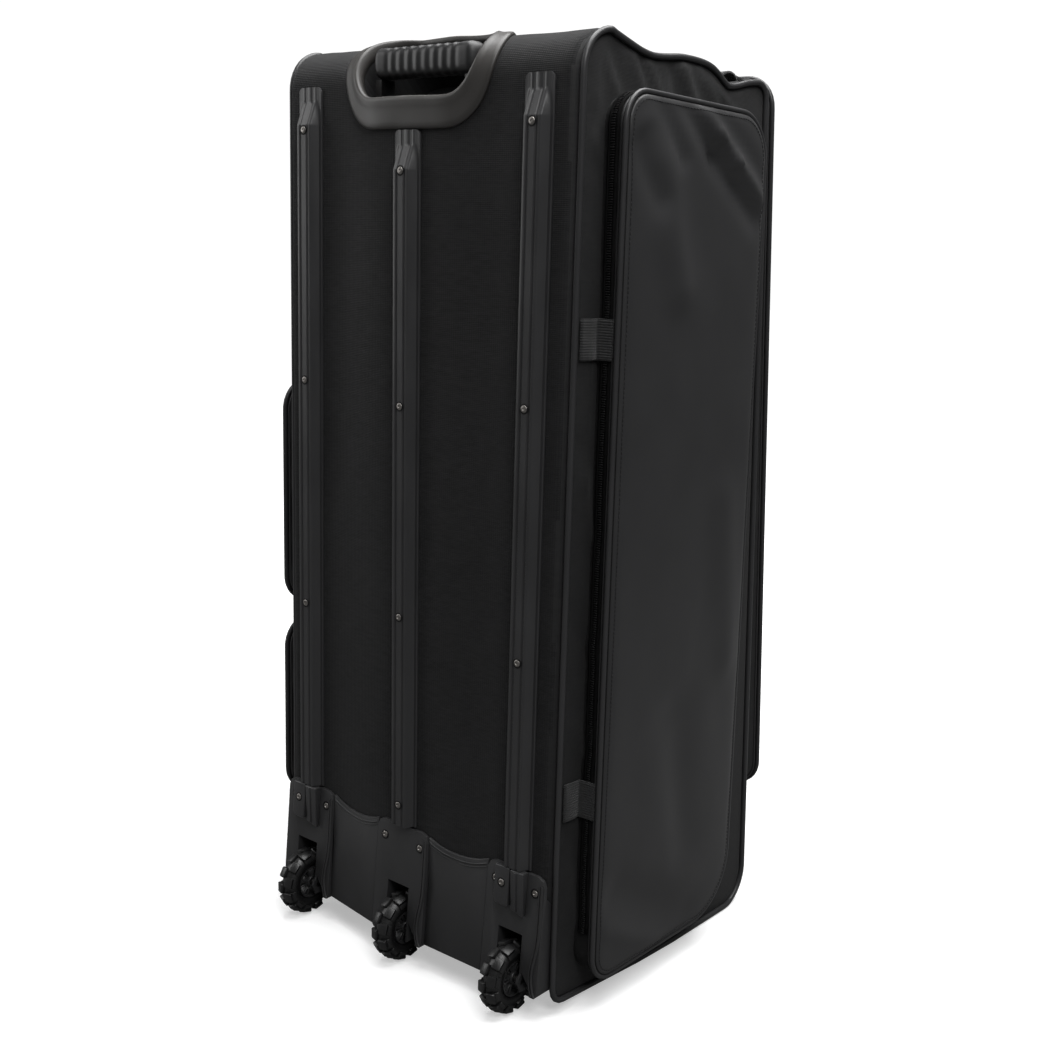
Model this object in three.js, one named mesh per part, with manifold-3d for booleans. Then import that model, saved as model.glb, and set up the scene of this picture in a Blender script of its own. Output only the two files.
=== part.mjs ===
// Cricket kit bag: a tall wheeled bag that stands on three wheels and its front bottom edge.
// Millimetres, +Z up. X runs across the bag, Y from the back panel towards the front pocket.
// The origin is under the middle of the bag, on the floor.

import * as THREE from 'three';
import { mergeVertices } from 'three/addons/utils/BufferGeometryUtils.js';
import Module from 'manifold-3d';

const wasm = await Module();
wasm.setup();

// Clearances
const GAP = 0.3; // between two pieces that touch
const RUNNING_GAP = 0.4; // round a turning axle and a sliding post
const BEYOND = 60; // length of a cutting block past what it cuts

// Cloth body
const HALF_WIDTH = 185; // centre line to a side seam
const HEIGHT = 916; // floor to the highest point of the side seams
const DEPTH_TOP = 303; // back panel to the front seam, near the top
const DEPTH_BOTTOM = 351; // the same near the floor
const CLOTH = 2.5; // padded cloth wall
const SEAM_SETBACK = 10; // back seams lie this far in front of the flat of the back panel
const SEAM_ROUND = 9; // width of the rounded edge beside a back seam
const CROWN_LOW = 5; // the middle of the back panel stands this far proud at the floor
const CROWN_HIGH = 12; // and this far at the top
const TOP_RISE = 3; // the top panel stands this far above its side seams
const FRONT_ROUND = 5; // the front panel stands this far proud of its seams
const SIDE_BULGE = 6; // side panels belly out this far
const BACK_TOP_RADIUS = 36;
const FRONT_TOP_RADIUS = 14;
const FRONT_BOTTOM_RADIUS = 40;
const BACK_BOTTOM_RADIUS = 16;
const BASE_LIFT = 14; // the bottom panel's back edge is held this far off the floor
const REST_LENGTH = 100; // flat of the bottom panel that lies on the floor
const RECESS_DEPTH = 34; // the back steps in this far behind the wheel housings
const RECESS_HALF = 168; // half width of that step; beyond it the back runs out to the side seams
const RECESS_TOP = 92;
const RECESS_END = 126;

// Sag of the top seam, from the back corner to the front corner
const TOP_LINE = [
  { depth: 0.165, drop: 0 },
  { depth: 0.287, drop: 0.0055 },
  { depth: 0.413, drop: 0.012 },
  { depth: 0.518, drop: 0.0104 },
  { depth: 0.631, drop: 0.0087 },
  { depth: 0.722, drop: 0.0142 },
  { depth: 0.802, drop: 0.0229 },
  { depth: 0.872, drop: 0.0191 },
  { depth: 0.948, drop: 0.0142 },
];

// Folds at the top of the side panels: ends as shares of the top depth and the height
const SIDE_FOLDS = [
  { depth: 0.165, height: 0.985, toDepth: 0.239, toHeight: 0.935, width: 13, lift: 4 },
  { depth: 0.322, height: 0.98, toDepth: 0.437, toHeight: 0.94, width: 13, lift: 4 },
  { depth: 0.583, height: 0.98, toDepth: 0.656, toHeight: 0.945, width: 12, lift: 3.5 },
  { depth: 0.698, height: 0.97, toDepth: 0.781, toHeight: 0.935, width: 11, lift: 4 },
];

// Piping and zips
const SEAM_PIPE_RADIUS = 3;
const POCKET_PIPE_RADIUS = 2.6;
const ZIP_WIDTH = 12;
const ZIP_THICKNESS = 1.2;
const ZIP_SHARE = 0.4; // a pocket's zip lies this far up its gusset
const MAIN_ZIP_WIDTH = 10;

// Lid of the main compartment
const LID_HALF_WIDTH = 150;
const LID_BOTTOM = 36;
const LID_TOP = HEIGHT - 44;
const LID_RADIUS = 36;

// Pockets: edges of the face in the plane of the panel that each is sewn to
const POCKET_CLOTH = 2;
const RIGHT_POCKET = { low: 42, high: 272, bottom: 34, top: HEIGHT - 51, rise: 23, puff: 8, radius: 26 };
const LEFT_POCKET_LOW = 28;
const LEFT_POCKET_HIGH = 266;
const LEFT_POCKET_RISE = 34;
const LEFT_UPPER = { bottom: 338, top: 577 };
const LEFT_LOWER = { bottom: 112, top: 309 };
const FRONT_POCKET = {
  halfWidth: 146, bottom: 102, top: HEIGHT - 14, rise: 78, lowRise: 94, puff: 7, radius: 26,
};

// Creases of the right pocket's face: ends as shares of its depth and height
const POCKET_FOLDS = [
  { along: 0.44, up: 0.99, toAlong: 0.97, toUp: 0.87, width: 15, lift: 4 },
  { along: 0.28, up: 0.99, toAlong: 0.6, toUp: 0.85, width: 16, lift: -3.5 },
  { along: 0.1, up: 0.1, toAlong: 0.62, toUp: 0.02, width: 22, lift: -3.5 },
];

// Skid rails
const RAIL_SPACING = HALF_WIDTH - 37; // middle rail to an outer rail
const RAIL_HALF_WIDTH = 16.6;
const RAIL_BOTTOM = 149;
const OUTER_RAIL_TOP = HEIGHT - 36;
const MIDDLE_RAIL_TOP = HEIGHT - 80.6;
const RAIL_FLANGE = 2;
const RAIL_RIB_HALF = 10;
const RAIL_RIB_FOOT = 12.5;
const RAIL_RIB_HEIGHT = 11;
const RAIL_GROOVE = { half: 1.6, depth: 1.5, at: 5 };
const RAIL_RAMP = { start: 36, end: 12.5, foot: 0.05 }; // below the top end; foot is what is left of the rib
const RAIL_TONGUE = { height: 5, inset: 3 }; // corner size of the rounded top end
const RIVET_RADIUS = 4;
const RIVET_HEIGHT = 1.2;
const RIVET_SIDES = 6;
const OUTER_RIVETS = [0.056, 0.395, 0.719]; // share of the rail's length, down from its top
const MIDDLE_RIVETS = [0.054, 0.373, 0.678, 0.967];

// Wheels
const WHEEL_RADIUS = 36.5;
const TYRE_WIDTH = 22;
const TYRE_SHOULDER = 6; // the tread falls away this far towards the sidewalls
const LUG_DEPTH = 3.2;
const LUG_COUNT = 7;
const RIM_RADIUS = 18;
const RIM_WIDTH = 17;
const RIM_SPOKES = 6;
const LUG_STEPS = LUG_COUNT * 4; // steps round a tyre: two on a lug and two in the gap behind it
const LUG_HALF_ANGLE = (0.75 * 2 * Math.PI) / LUG_STEPS;
const AXLE_HEIGHT = WHEEL_RADIUS * Math.cos(LUG_HALF_ANGLE); // a lug lies flat on the floor
const HUB_RADIUS = 6.4;
const AXLE_RADIUS = 3;
const WHEEL_SETBACK = -9; // axle to the plane of the back panel
const WHEEL_OFFSET = -1.5; // tyre centre beside the rail's centre line
const WHEEL_SIDE_GAP = 4;

// Wheel housings
const HOUSING_HALF = 36;
const HOUSING_TOP = 147;
const HOUSING_BOTTOM = 26;
const HOUSING_RADIUS = 9;
const HOUSING_WALL = 3;
const HOUSING_FACE_TOP = -3.6; // outer face at the top, from the plane of the back panel
const HOUSING_FACE_BOTTOM = -13;
const SLOT_TOP = 84;
const WELL_WALL = 2.5;
const EAR_RADIUS = 8;
const FLARE = { width: 16, waist: 13, waistHeight: 34, height: 52 }; // the slot's mouth opens out at its low end
const SLOT_REACH = 9; // the slot is cut this far past a housing's face

const MIDDLE_FORWARD = 6; // the middle housing stands this far further out
const CLIP = { half: 13.5, bottom: 107, height: 7, chamfer: 5 };
const PLATE_RIVET = { across: 25, drop: 17 };
const RIVET_LEAN = 0.4; // extra room under a rivet where the housing's face leans

// Kick panels
const KICK_TOP = 145;
const KICK_DIP = 8; // the upper edge dips this far at its middle
const KICK_BOTTOM = 29;
const KICK_WALL = 2.5;
const KICK_STEP = 4; // a panel's left end lies this far behind the housing beside it; its right end is flush

// Trolley handle
const COLLAR_HALF_WIDTH = 96;
const SLOPE_CORNER = HEIGHT * Math.SQRT1_2; // top back edge, on the slope that faces up and back at 45 degrees
const COLLAR_LOW = SLOPE_CORNER - 64.7;
const COLLAR_HIGH = SLOPE_CORNER + 49.3;
const COLLAR_RADIUS = 55;
const COLLAR_THICKNESS = 3.5;
const WELL_HALF_WIDTH = 76;
const WELL_LOW = SLOPE_CORNER - 44.7;
const WELL_HIGH = SLOPE_CORNER + 35.3;
const WELL_RADIUS = 33;
const WELL_FLOOR = SLOPE_CORNER - 81.7;
const CUP_WALL = 2;
const POST_SPACING = 58; // centre line to a post
const POST_SETBACK = 14;
const POST_WIDTH = 8;
const POST_DEPTH = 18;
const POST_BOTTOM = 400;
const GUIDE_WALL = 1.6;
const GUIDE_BOTTOM = 150;
const GRIP = { halfWidth: 66, depth: 24, bottom: HEIGHT - 32, top: HEIGHT - 3, radius: 9 };
const FINGER_CUT = { inset: 14, depth: 6 }; // shallow cut in the grip's underside

// Webbing
const WEBBING_WIDTH = 37;
const WEBBING_THICKNESS = 1.6;
const BAND_CENTRES = [654, 219];
const TOP_TAB = { from: 0.82, to: 0.94, width: 22, inset: 20, thickness: 3 };

// Colours
const cloth = (color) => new THREE.MeshStandardMaterial({ color, roughness: 0.85, metalness: 0 });
const moulded = (color) => new THREE.MeshStandardMaterial({ color, roughness: 0.5, metalness: 0 });
const metal = (color) => new THREE.MeshStandardMaterial({ color, roughness: 0.35, metalness: 0.9 });

const bag = new THREE.Group();

function addPart(name, geometry, material) {
  const mesh = new THREE.Mesh(geometry, material);
  mesh.name = name;
  bag.add(mesh);
}

// Mesh helpers

const { lerp, smoothstep } = THREE.MathUtils;
const at = (x, y, z) => new THREE.Vector3(x, y, z);

// Points and faces of a closed surface, turned so that its faces point out
class Surface {
  points = [];
  faces = [];

  add(point) {
    return this.points.push(point) - 1;
  }

  row(points) {
    return points.map((point) => this.add(point));
  }

  quad(a, b, c, d) {
    this.faces.push([a, b, c], [a, c, d]);
  }

  // Joins two rows of equal length, each a closed ring where closed is true
  strip(first, second, closed) {
    const last = closed ? first.length : first.length - 1;
    for (let i = 0; i < last; i++) {
      const next = (i + 1) % first.length;
      this.quad(first[i], first[next], second[next], second[i]);
    }
  }

  cap(ring, outline, reversed) {
    for (const [a, b, c] of THREE.ShapeUtils.triangulateShape(outline, [])) {
      this.faces.push(reversed ? [ring[c], ring[b], ring[a]] : [ring[a], ring[b], ring[c]]);
    }
  }

  volume() {
    return this.faces.reduce((sum, [a, b, c]) => {
      const [p, q, r] = [this.points[a], this.points[b], this.points[c]];
      return sum + p.dot(q.clone().cross(r)) / 6;
    }, 0);
  }

  geometry() {
    const inverted = this.volume() < 0;
    const geometry = new THREE.BufferGeometry();
    const index = this.faces.flatMap((face) => (inverted ? [face[0], face[2], face[1]] : face));
    geometry.setAttribute(
      'position',
      new THREE.Float32BufferAttribute(this.points.flatMap((p) => [p.x, p.y, p.z]), 3),
    );
    geometry.setIndex(index);
    return mergeVertices(geometry, 1e-4);
  }
}

function solid(geometry) {
  const bare = geometry.clone();
  bare.deleteAttribute('normal');
  bare.deleteAttribute('uv');
  const merged = mergeVertices(bare, 1e-4);
  return new wasm.Manifold(new wasm.Mesh({
    numProp: 3,
    vertProperties: new Float32Array(merged.attributes.position.array),
    triVerts: new Uint32Array(merged.index.array),
  }));
}

function geometryOf(body) {
  const mesh = body.getMesh();
  const geometry = new THREE.BufferGeometry();
  geometry.setAttribute('position', new THREE.BufferAttribute(new Float32Array(mesh.vertProperties), 3));
  geometry.setIndex(new THREE.BufferAttribute(new Uint32Array(mesh.triVerts), 1));
  return geometry;
}

// Box between two corners
function box(low, high) {
  const size = high.map((value, axis) => value - low[axis]);
  const geometry = new THREE.BoxGeometry(...size);
  return geometry.translate(...low.map((value, axis) => value + size[axis] / 2));
}

// Outline drawn in X and Z, extruded along Y from one place to another
function alongY(shape, from, to) {
  const geometry = new THREE.ExtrudeGeometry(shape, { depth: to - from, bevelEnabled: false, curveSegments: 4 });
  return geometry.rotateX(Math.PI / 2).translate(0, to, 0);
}

// Outline drawn in Y and Z, extruded along X
function alongX(shape, from, to) {
  const geometry = new THREE.ExtrudeGeometry(shape, { depth: to - from, bevelEnabled: false, curveSegments: 4 });
  const basis = new THREE.Matrix4().makeBasis(at(0, 1, 0), at(0, 0, 1), at(1, 0, 0));
  return geometry.applyMatrix4(basis).translate(from, 0, 0);
}

function polygon(points) {
  return new THREE.Shape(points.map(([u, v]) => new THREE.Vector2(u, v)));
}

function roundedRectangle(left, bottom, right, top, radius) {
  const shape = new THREE.Shape();
  shape.moveTo(left + radius, bottom);
  shape.lineTo(right - radius, bottom);
  shape.absarc(right - radius, bottom + radius, radius, -Math.PI / 2, 0);
  shape.lineTo(right, top - radius);
  shape.absarc(right - radius, top - radius, radius, 0, Math.PI / 2);
  shape.lineTo(left + radius, top);
  shape.absarc(left + radius, top - radius, radius, Math.PI / 2, Math.PI);
  shape.lineTo(left, bottom + radius);
  shape.absarc(left + radius, bottom + radius, radius, Math.PI, 1.5 * Math.PI);
  return shape;
}

// Cylinder along X
function pinAlongX(radius, from, to, y, z, sides) {
  const geometry = new THREE.CylinderGeometry(radius, radius, to - from, sides);
  return geometry.rotateZ(Math.PI / 2).translate((from + to) / 2, y, z);
}

// Shallow dome on a face that looks towards -Y
function domeHead(radius, height, x, y, z) {
  const profile = [[0, 0], [radius, 0], [radius * 0.7, height], [0, height]];
  const geometry = new THREE.LatheGeometry(profile.map(([r, h]) => new THREE.Vector2(r, h)), RIVET_SIDES);
  return geometry.rotateX(Math.PI).translate(x, y, z);
}

// Outlines with four sides

// Points from one place to another, without the last; ease above 1 crowds them at the end
function line(from, to, count, ease = 1) {
  return Array.from({ length: count }, (_, i) => {
    const share = 1 - (1 - i / count) ** ease;
    return { u: lerp(from.u, to.u, share), v: lerp(from.v, to.v, share) };
  });
}

// Points on an arc, without the last; angles in degrees
function arc(centre, radius, from, to, count) {
  return Array.from({ length: count }, (_, i) => {
    const angle = THREE.MathUtils.degToRad(lerp(from, to, i / count));
    return { u: centre.u + radius * Math.cos(angle), v: centre.v + radius * Math.sin(angle) };
  });
}

// Loop in order up the low side, along the top, down the high side and back along the bottom
function loopOf(sides) {
  return sides.flat();
}

function normalsOf(loop) {
  return loop.map((point, i) => {
    const before = loop[(i + loop.length - 1) % loop.length];
    const after = loop[(i + 1) % loop.length];
    const length = Math.hypot(after.u - before.u, after.v - before.v);
    return { u: -(after.v - before.v) / length, v: (after.u - before.u) / length };
  });
}

function grown(sides, amount) {
  const loop = loopOf(sides);
  const normals = normalsOf(loop);
  let index = 0;
  return sides.map((side) => side.map((point) => {
    const normal = normals[index++];
    return { u: point.u + normal.u * amount, v: point.v + normal.v * amount };
  }));
}

// Grid that fills the loop, rows from the bottom to the top and columns from the low side to the high side
function filled(sides) {
  const [low, top, high, bottom] = sides;
  const closedBy = (side, next) => [...side, next[0]];
  const left = closedBy(low, top);
  const upper = closedBy(top, high);
  const right = closedBy(high, bottom).reverse();
  const lower = closedBy(bottom, low).reverse();
  const rows = left.length - 1;
  const columns = upper.length - 1;
  return left.map((start, i) => upper.map((end, j) => {
    const s = j / columns;
    const t = i / rows;
    const blend = (key) => (1 - s) * start[key] + s * right[i][key] + (1 - t) * lower[j][key] + t * end[key]
      - (1 - s) * (1 - t) * left[0][key] - s * (1 - t) * right[0][key]
      - (1 - s) * t * left[rows][key] - s * t * right[rows][key];
    return { u: blend('u'), v: blend('v'), s, t };
  }));
}

// Border of a grid in the order of its loop
function borderOf(grid) {
  const rows = grid.length - 1;
  const columns = grid[0].length - 1;
  return [
    ...Array.from({ length: rows }, (_, i) => grid[i][0]),
    ...Array.from({ length: columns }, (_, j) => grid[rows][j]),
    ...Array.from({ length: rows }, (_, i) => grid[rows - i][columns]),
    ...Array.from({ length: columns }, (_, j) => grid[0][columns - j]),
  ];
}

function addGrid(surface, points, reversed) {
  const grid = points.map((row) => surface.row(row));
  for (let i = 0; i + 1 < grid.length; i++) {
    for (let j = 0; j + 1 < grid[i].length; j++) {
      const [a, b, c, d] = [grid[i][j], grid[i][j + 1], grid[i + 1][j + 1], grid[i + 1][j]];
      if (reversed) surface.quad(d, c, b, a);
      else surface.quad(a, b, c, d);
    }
  }
  return borderOf(grid);
}

function foldLift(folds, u, v) {
  return folds.reduce((sum, fold) => {
    const [du, dv] = [fold.toU - fold.u, fold.toV - fold.v];
    const share = THREE.MathUtils.clamp(((u - fold.u) * du + (v - fold.v) * dv) / (du * du + dv * dv), 0, 1);
    const distance = Math.hypot(u - fold.u - share * du, v - fold.v - share * dv);
    return sum + fold.lift * Math.exp(-((distance / fold.width) ** 2));
  }, 0);
}

// Bead of round section round a closed row of centres; out is each centre's own sideways direction
function bead(centres, outs, radius, sides) {
  const surface = new Surface();
  const rings = centres.map((centre, i) => {
    const before = centres[(i + centres.length - 1) % centres.length];
    const after = centres[(i + 1) % centres.length];
    const along = after.clone().sub(before).normalize();
    const out = outs[i].clone().addScaledVector(along, -outs[i].dot(along)).normalize();
    const across = along.clone().cross(out);
    return surface.row(Array.from({ length: sides }, (_, k) => {
      const angle = (2 * Math.PI * k) / sides;
      return centre.clone().addScaledVector(out, radius * Math.cos(angle))
        .addScaledVector(across, radius * Math.sin(angle));
    }));
  });
  rings.forEach((ring, i) => surface.strip(ring, rings[(i + 1) % rings.length], true));
  return surface.geometry();
}

// Solid through sections with equal point counts, closed by its two end sections
function loft(sections, outline) {
  const surface = new Surface();
  const rings = sections.map((section) => surface.row(section));
  for (let i = 0; i + 1 < rings.length; i++) surface.strip(rings[i], rings[i + 1], true);
  const flat = outline.map(([u, v]) => new THREE.Vector2(u, v));
  surface.cap(rings[0], flat, true);
  surface.cap(rings[rings.length - 1], flat, false);
  return surface.geometry();
}

// Cloth body

const FLOOR_POINT = { u: DEPTH_BOTTOM - FRONT_BOTTOM_RADIUS, v: 0 };
const SEAM_FRONT_TOP = { u: DEPTH_TOP, v: HEIGHT * (1 - TOP_LINE.at(-1).drop) - FRONT_TOP_RADIUS };
const SEAM_FRONT_BOTTOM = { u: DEPTH_BOTTOM, v: FRONT_BOTTOM_RADIUS };
const APEX_CENTRE = { u: SEAM_SETBACK + BACK_TOP_RADIUS, v: HEIGHT - BACK_TOP_RADIUS };
const FRONT_TOP_CENTRE = { u: DEPTH_TOP - FRONT_TOP_RADIUS, v: SEAM_FRONT_TOP.v };
const FRONT_BOTTOM_CENTRE = { u: FLOOR_POINT.u, v: FRONT_BOTTOM_RADIUS };
const BACK_BOTTOM_CENTRE = { u: SEAM_SETBACK + BACK_BOTTOM_RADIUS, v: BASE_LIFT + BACK_BOTTOM_RADIUS };
const REST_START = FLOOR_POINT.u - REST_LENGTH;

// Side seam in Y and Z; detail holds the step counts of its long stretches and its corners
function seamSides(detail) {
  const { longCount, cornerCount } = detail;
  const recessFoot = { u: SEAM_SETBACK, v: BACK_BOTTOM_CENTRE.v };
  const recessHead = { u: SEAM_SETBACK, v: RECESS_TOP };
  const backFoot = { u: SEAM_SETBACK, v: RECESS_END };
  const backHead = { u: SEAM_SETBACK, v: APEX_CENTRE.v };
  const topRows = TOP_LINE.map((row) => ({ u: row.depth * DEPTH_TOP, v: HEIGHT * (1 - row.drop) }));
  const rest = { u: REST_START, v: 0 };
  const liftEnd = { u: BACK_BOTTOM_CENTRE.u, v: BASE_LIFT };
  const back = [
    ...arc(BACK_BOTTOM_CENTRE, BACK_BOTTOM_RADIUS, 225, 180, cornerCount),
    ...line(recessFoot, recessHead, 1),
    ...line(recessHead, backFoot, 1),
    ...line(backFoot, backHead, longCount - 2 - cornerCount, 1.6),
    ...arc(APEX_CENTRE, BACK_TOP_RADIUS, 180, 135, cornerCount),
  ];
  const front = [
    ...arc(FRONT_TOP_CENTRE, FRONT_TOP_RADIUS, 45, 0, cornerCount),
    SEAM_FRONT_TOP,
    ...line(SEAM_FRONT_BOTTOM, SEAM_FRONT_TOP, longCount - cornerCount, 1.6).slice(1).reverse(),
    ...arc(FRONT_BOTTOM_CENTRE, FRONT_BOTTOM_RADIUS, 0, -45, cornerCount),
  ];
  const upper = [
    ...arc(APEX_CENTRE, BACK_TOP_RADIUS, 135, 90, cornerCount),
    ...topRows,
    ...arc(FRONT_TOP_CENTRE, FRONT_TOP_RADIUS, 90, 45, cornerCount),
  ];
  const lowerSteps = upper.length - 2 * cornerCount;
  const flatSteps = Math.floor(lowerSteps / 3);
  const lower = [
    ...arc(FRONT_BOTTOM_CENTRE, FRONT_BOTTOM_RADIUS, -45, -90, cornerCount),
    ...line(FLOOR_POINT, rest, flatSteps),
    ...line(rest, liftEnd, lowerSteps - flatSteps),
    ...arc(BACK_BOTTOM_CENTRE, BACK_BOTTOM_RADIUS, 270, 225, cornerCount),
  ];
  return [back, upper, front, lower];
}

const backFade = (v) => smoothstep(v, RECESS_TOP, RECESS_END);

// Flat over the middle rail, sloping to the flats under the outer rails
const crownAt = (x, z) => lerp(CROWN_LOW, CROWN_HIGH, z / HEIGHT)
  * smoothstep(-Math.abs(x), -(RAIL_SPACING - HOUSING_HALF), -HOUSING_HALF);

function edgeShare(x) {
  const start = HALF_WIDTH - SEAM_ROUND;
  return Math.abs(x) < start ? 1 : 1 - ((Math.abs(x) - start) / SEAM_ROUND) ** 2.2;
}

const SIDE_FOLD_LINES = SIDE_FOLDS.map((fold) => ({
  u: fold.depth * DEPTH_TOP,
  v: fold.height * HEIGHT,
  toU: fold.toDepth * DEPTH_TOP,
  toV: fold.toHeight * HEIGHT,
  width: fold.width,
  lift: fold.lift,
}));

// How far a side panel stands outside its seam
function sideLift(u, v) {
  const s = THREE.MathUtils.clamp((u - SEAM_SETBACK) / (lerp(DEPTH_BOTTOM, DEPTH_TOP, v / HEIGHT) - SEAM_SETBACK), 0, 1);
  const t = THREE.MathUtils.clamp(v / HEIGHT, 0, 1);
  const belly = (4 * s * (1 - s)) ** 0.55 * (4 * t * (1 - t)) ** 0.35;
  return SIDE_BULGE * belly + foldLift(SIDE_FOLD_LINES, u, v) * Math.min(1, belly * 1.5);
}

const RECESS_EDGE = HALF_WIDTH - SEAM_ROUND * 0.4;

// How far the back is stepped in behind the housings at a place on the seam's outline
function recessAt(x, u, v) {
  const beside = Math.min((RECESS_EDGE - Math.abs(x)) / (RECESS_EDGE - RECESS_HALF), 1);
  const under = 1 - THREE.MathUtils.clamp((u - BACK_BOTTOM_CENTRE.u) / (REST_START - BACK_BOTTOM_CENTRE.u), 0, 1);
  return (RECESS_DEPTH - SEAM_SETBACK) * (1 - backFade(v)) * beside * under;
}

// Body surface moved out by offset; detail holds step counts and the places across the width
function bodySkin(offset, detail) {
  const surface = new Surface();
  const sides = seamSides(detail);
  const loop = loopOf(sides);
  const normals = normalsOf(loop);
  const grid = filled(grown(sides, offset));
  const station = (x) => loop.map((point, i) => {
    const normal = normals[i];
    const back = (SEAM_SETBACK * edgeShare(x) + crownAt(x, point.v)) * backFade(point.v);
    const front = FRONT_ROUND * edgeShare(x);
    const rise = TOP_RISE * edgeShare(x);
    const step = recessAt(x, point.u, point.v);
    const y = point.u + normal.u * (offset + (normal.u < 0 ? back : front)) + step;
    const z = point.v + normal.v * (offset + (normal.v > 0 ? rise : 0));
    return at(x, y, Math.max(z, -offset));
  });
  const capPoints = (sign) => grid.map((row, i) => row.map((point, j) => {
    const inside = i > 0 && j > 0 && i < grid.length - 1 && j < row.length - 1;
    const lift = inside ? sideLift(point.u, point.v) : 0;
    return at(sign * (HALF_WIDTH + offset + lift), point.u, Math.max(point.v, -offset));
  }));
  const places = detail.across.map((x) => -x).concat(detail.across.toReversed());
  const inner = places.slice(1, -1).map((x) => surface.row(station(x)));
  const rings = [addGrid(surface, capPoints(-1), false), ...inner, addGrid(surface, capPoints(1), true)];
  for (let i = 0; i + 1 < rings.length; i++) surface.strip(rings[i], rings[i + 1], true);
  return surface.geometry();
}

const crownFoot = RAIL_SPACING - HOUSING_HALF;
const acrossFine = [HALF_WIDTH, RECESS_EDGE, HALF_WIDTH - SEAM_ROUND, RECESS_HALF, crownFoot,
  (crownFoot + HOUSING_HALF) / 2, HOUSING_HALF];
const acrossCoarse = [HALF_WIDTH, HALF_WIDTH - SEAM_ROUND, RECESS_HALF, crownFoot, HOUSING_HALF];
const FINE = { longCount: 9, cornerCount: 2, across: acrossFine };
const COARSE = { longCount: 5, cornerCount: 1, across: acrossCoarse };
const BEAD_STEPS = { longCount: 5, cornerCount: 2 };

const bodySolid = solid(bodySkin(0, FINE));
const bodyShell = bodySolid.subtract(solid(bodySkin(-CLOTH, COARSE)));

const bodyClearance = solid(bodySkin(GAP, FINE));

// Trims a piece to the gap round the body and drops the slivers that the cut leaves
function seated(body) {
  const pieces = body.subtract(bodyClearance).decompose();
  return geometryOf(pieces.reduce((a, b) => (b.volume() > a.volume() ? b : a)));
}

// Prism on the slope that faces up and back at 45 degrees, between two heights above the origin
function wellPrism(halfWidth, low, high, radius, from, to) {
  const shape = roundedRectangle(-halfWidth, low, halfWidth, high, radius);
  const geometry = new THREE.ExtrudeGeometry(shape, { depth: to - from, bevelEnabled: false, curveSegments: 4 });
  const slope = Math.SQRT1_2;
  const basis = new THREE.Matrix4().makeBasis(at(1, 0, 0), at(0, slope, slope), at(0, -slope, slope));
  return solid(geometry.translate(0, 0, from).applyMatrix4(basis));
}

function wellOutline(grow, from, to) {
  return wellPrism(WELL_HALF_WIDTH + grow, WELL_LOW - grow, WELL_HIGH + grow, WELL_RADIUS + grow, from, to);
}

const OUTSIDE = 800; // beyond the body on the slope's outward side

// Front window that the lid and its zip fill
function lidWindow(grow) {
  const half = LID_HALF_WIDTH + grow;
  const shape = roundedRectangle(-half, LID_BOTTOM - grow, half, LID_TOP + grow, LID_RADIUS + grow);
  return solid(alongY(shape, DEPTH_TOP - BEYOND, DEPTH_BOTTOM + BEYOND));
}

function addBody() {
  const black = 0x1c1c1d;
  const window = lidWindow(MAIN_ZIP_WIDTH);
  const well = wellOutline(CUP_WALL + GAP, WELL_FLOOR - CUP_WALL - GAP, OUTSIDE);
  addPart('body_tray', geometryOf(bodyShell.subtract(window).subtract(well)), cloth(black));
  const zipRing = lidWindow(MAIN_ZIP_WIDTH - GAP).subtract(lidWindow(GAP));
  addPart('main_zip', geometryOf(bodyShell.intersect(zipRing)), cloth(0x101010));
  addPart('lid_panel', geometryOf(bodyShell.intersect(lidWindow(0))), cloth(black));
}

function addSeamPiping(name, sign) {
  const loop = loopOf(seamSides(BEAD_STEPS));
  const normals = normalsOf(loop);
  const reach = (SEAM_PIPE_RADIUS + GAP) / Math.cos(0.2);
  const [side, out] = [0.8, 0.6];
  const centres = loop.map((point, i) => {
    const height = point.v + normals[i].v * reach * out;
    const raised = Math.max(SEAM_PIPE_RADIUS - height, 0); // where the floor holds the bead up
    return at(sign * (HALF_WIDTH + reach * side + raised * 0.6), point.u + normals[i].u * reach * out,
      height + raised);
  });
  addPart(name, bead(centres, centres.map(() => at(sign, 0, 0)), SEAM_PIPE_RADIUS, 5), cloth(0x3a3a3b));
}

// Pockets

// Outline with equal corner radii; steps holds the number of steps on its upright and level sides
function pocketSides(low, bottom, high, top, radius, steps) {
  const centre = (u, v) => ({ u, v });
  const [left, right] = [low + radius, high - radius];
  const [under, over] = [bottom + radius, top - radius];
  return [
    [...arc(centre(left, under), radius, 225, 180, 2), ...line(centre(low, under), centre(low, over), steps.up),
      ...arc(centre(left, over), radius, 180, 135, 2)],
    [...arc(centre(left, over), radius, 135, 90, 2), ...line(centre(left, top), centre(right, top), steps.along),
      ...arc(centre(right, over), radius, 90, 45, 2)],
    [...arc(centre(right, over), radius, 45, 0, 2), ...line(centre(high, over), centre(high, under), steps.up),
      ...arc(centre(right, under), radius, 0, -45, 2)],
    [...arc(centre(right, under), radius, -45, -90, 2),
      ...line(centre(right, bottom), centre(left, bottom), steps.along),
      ...arc(centre(left, under), radius, 270, 225, 2)],
  ];
}

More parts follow.
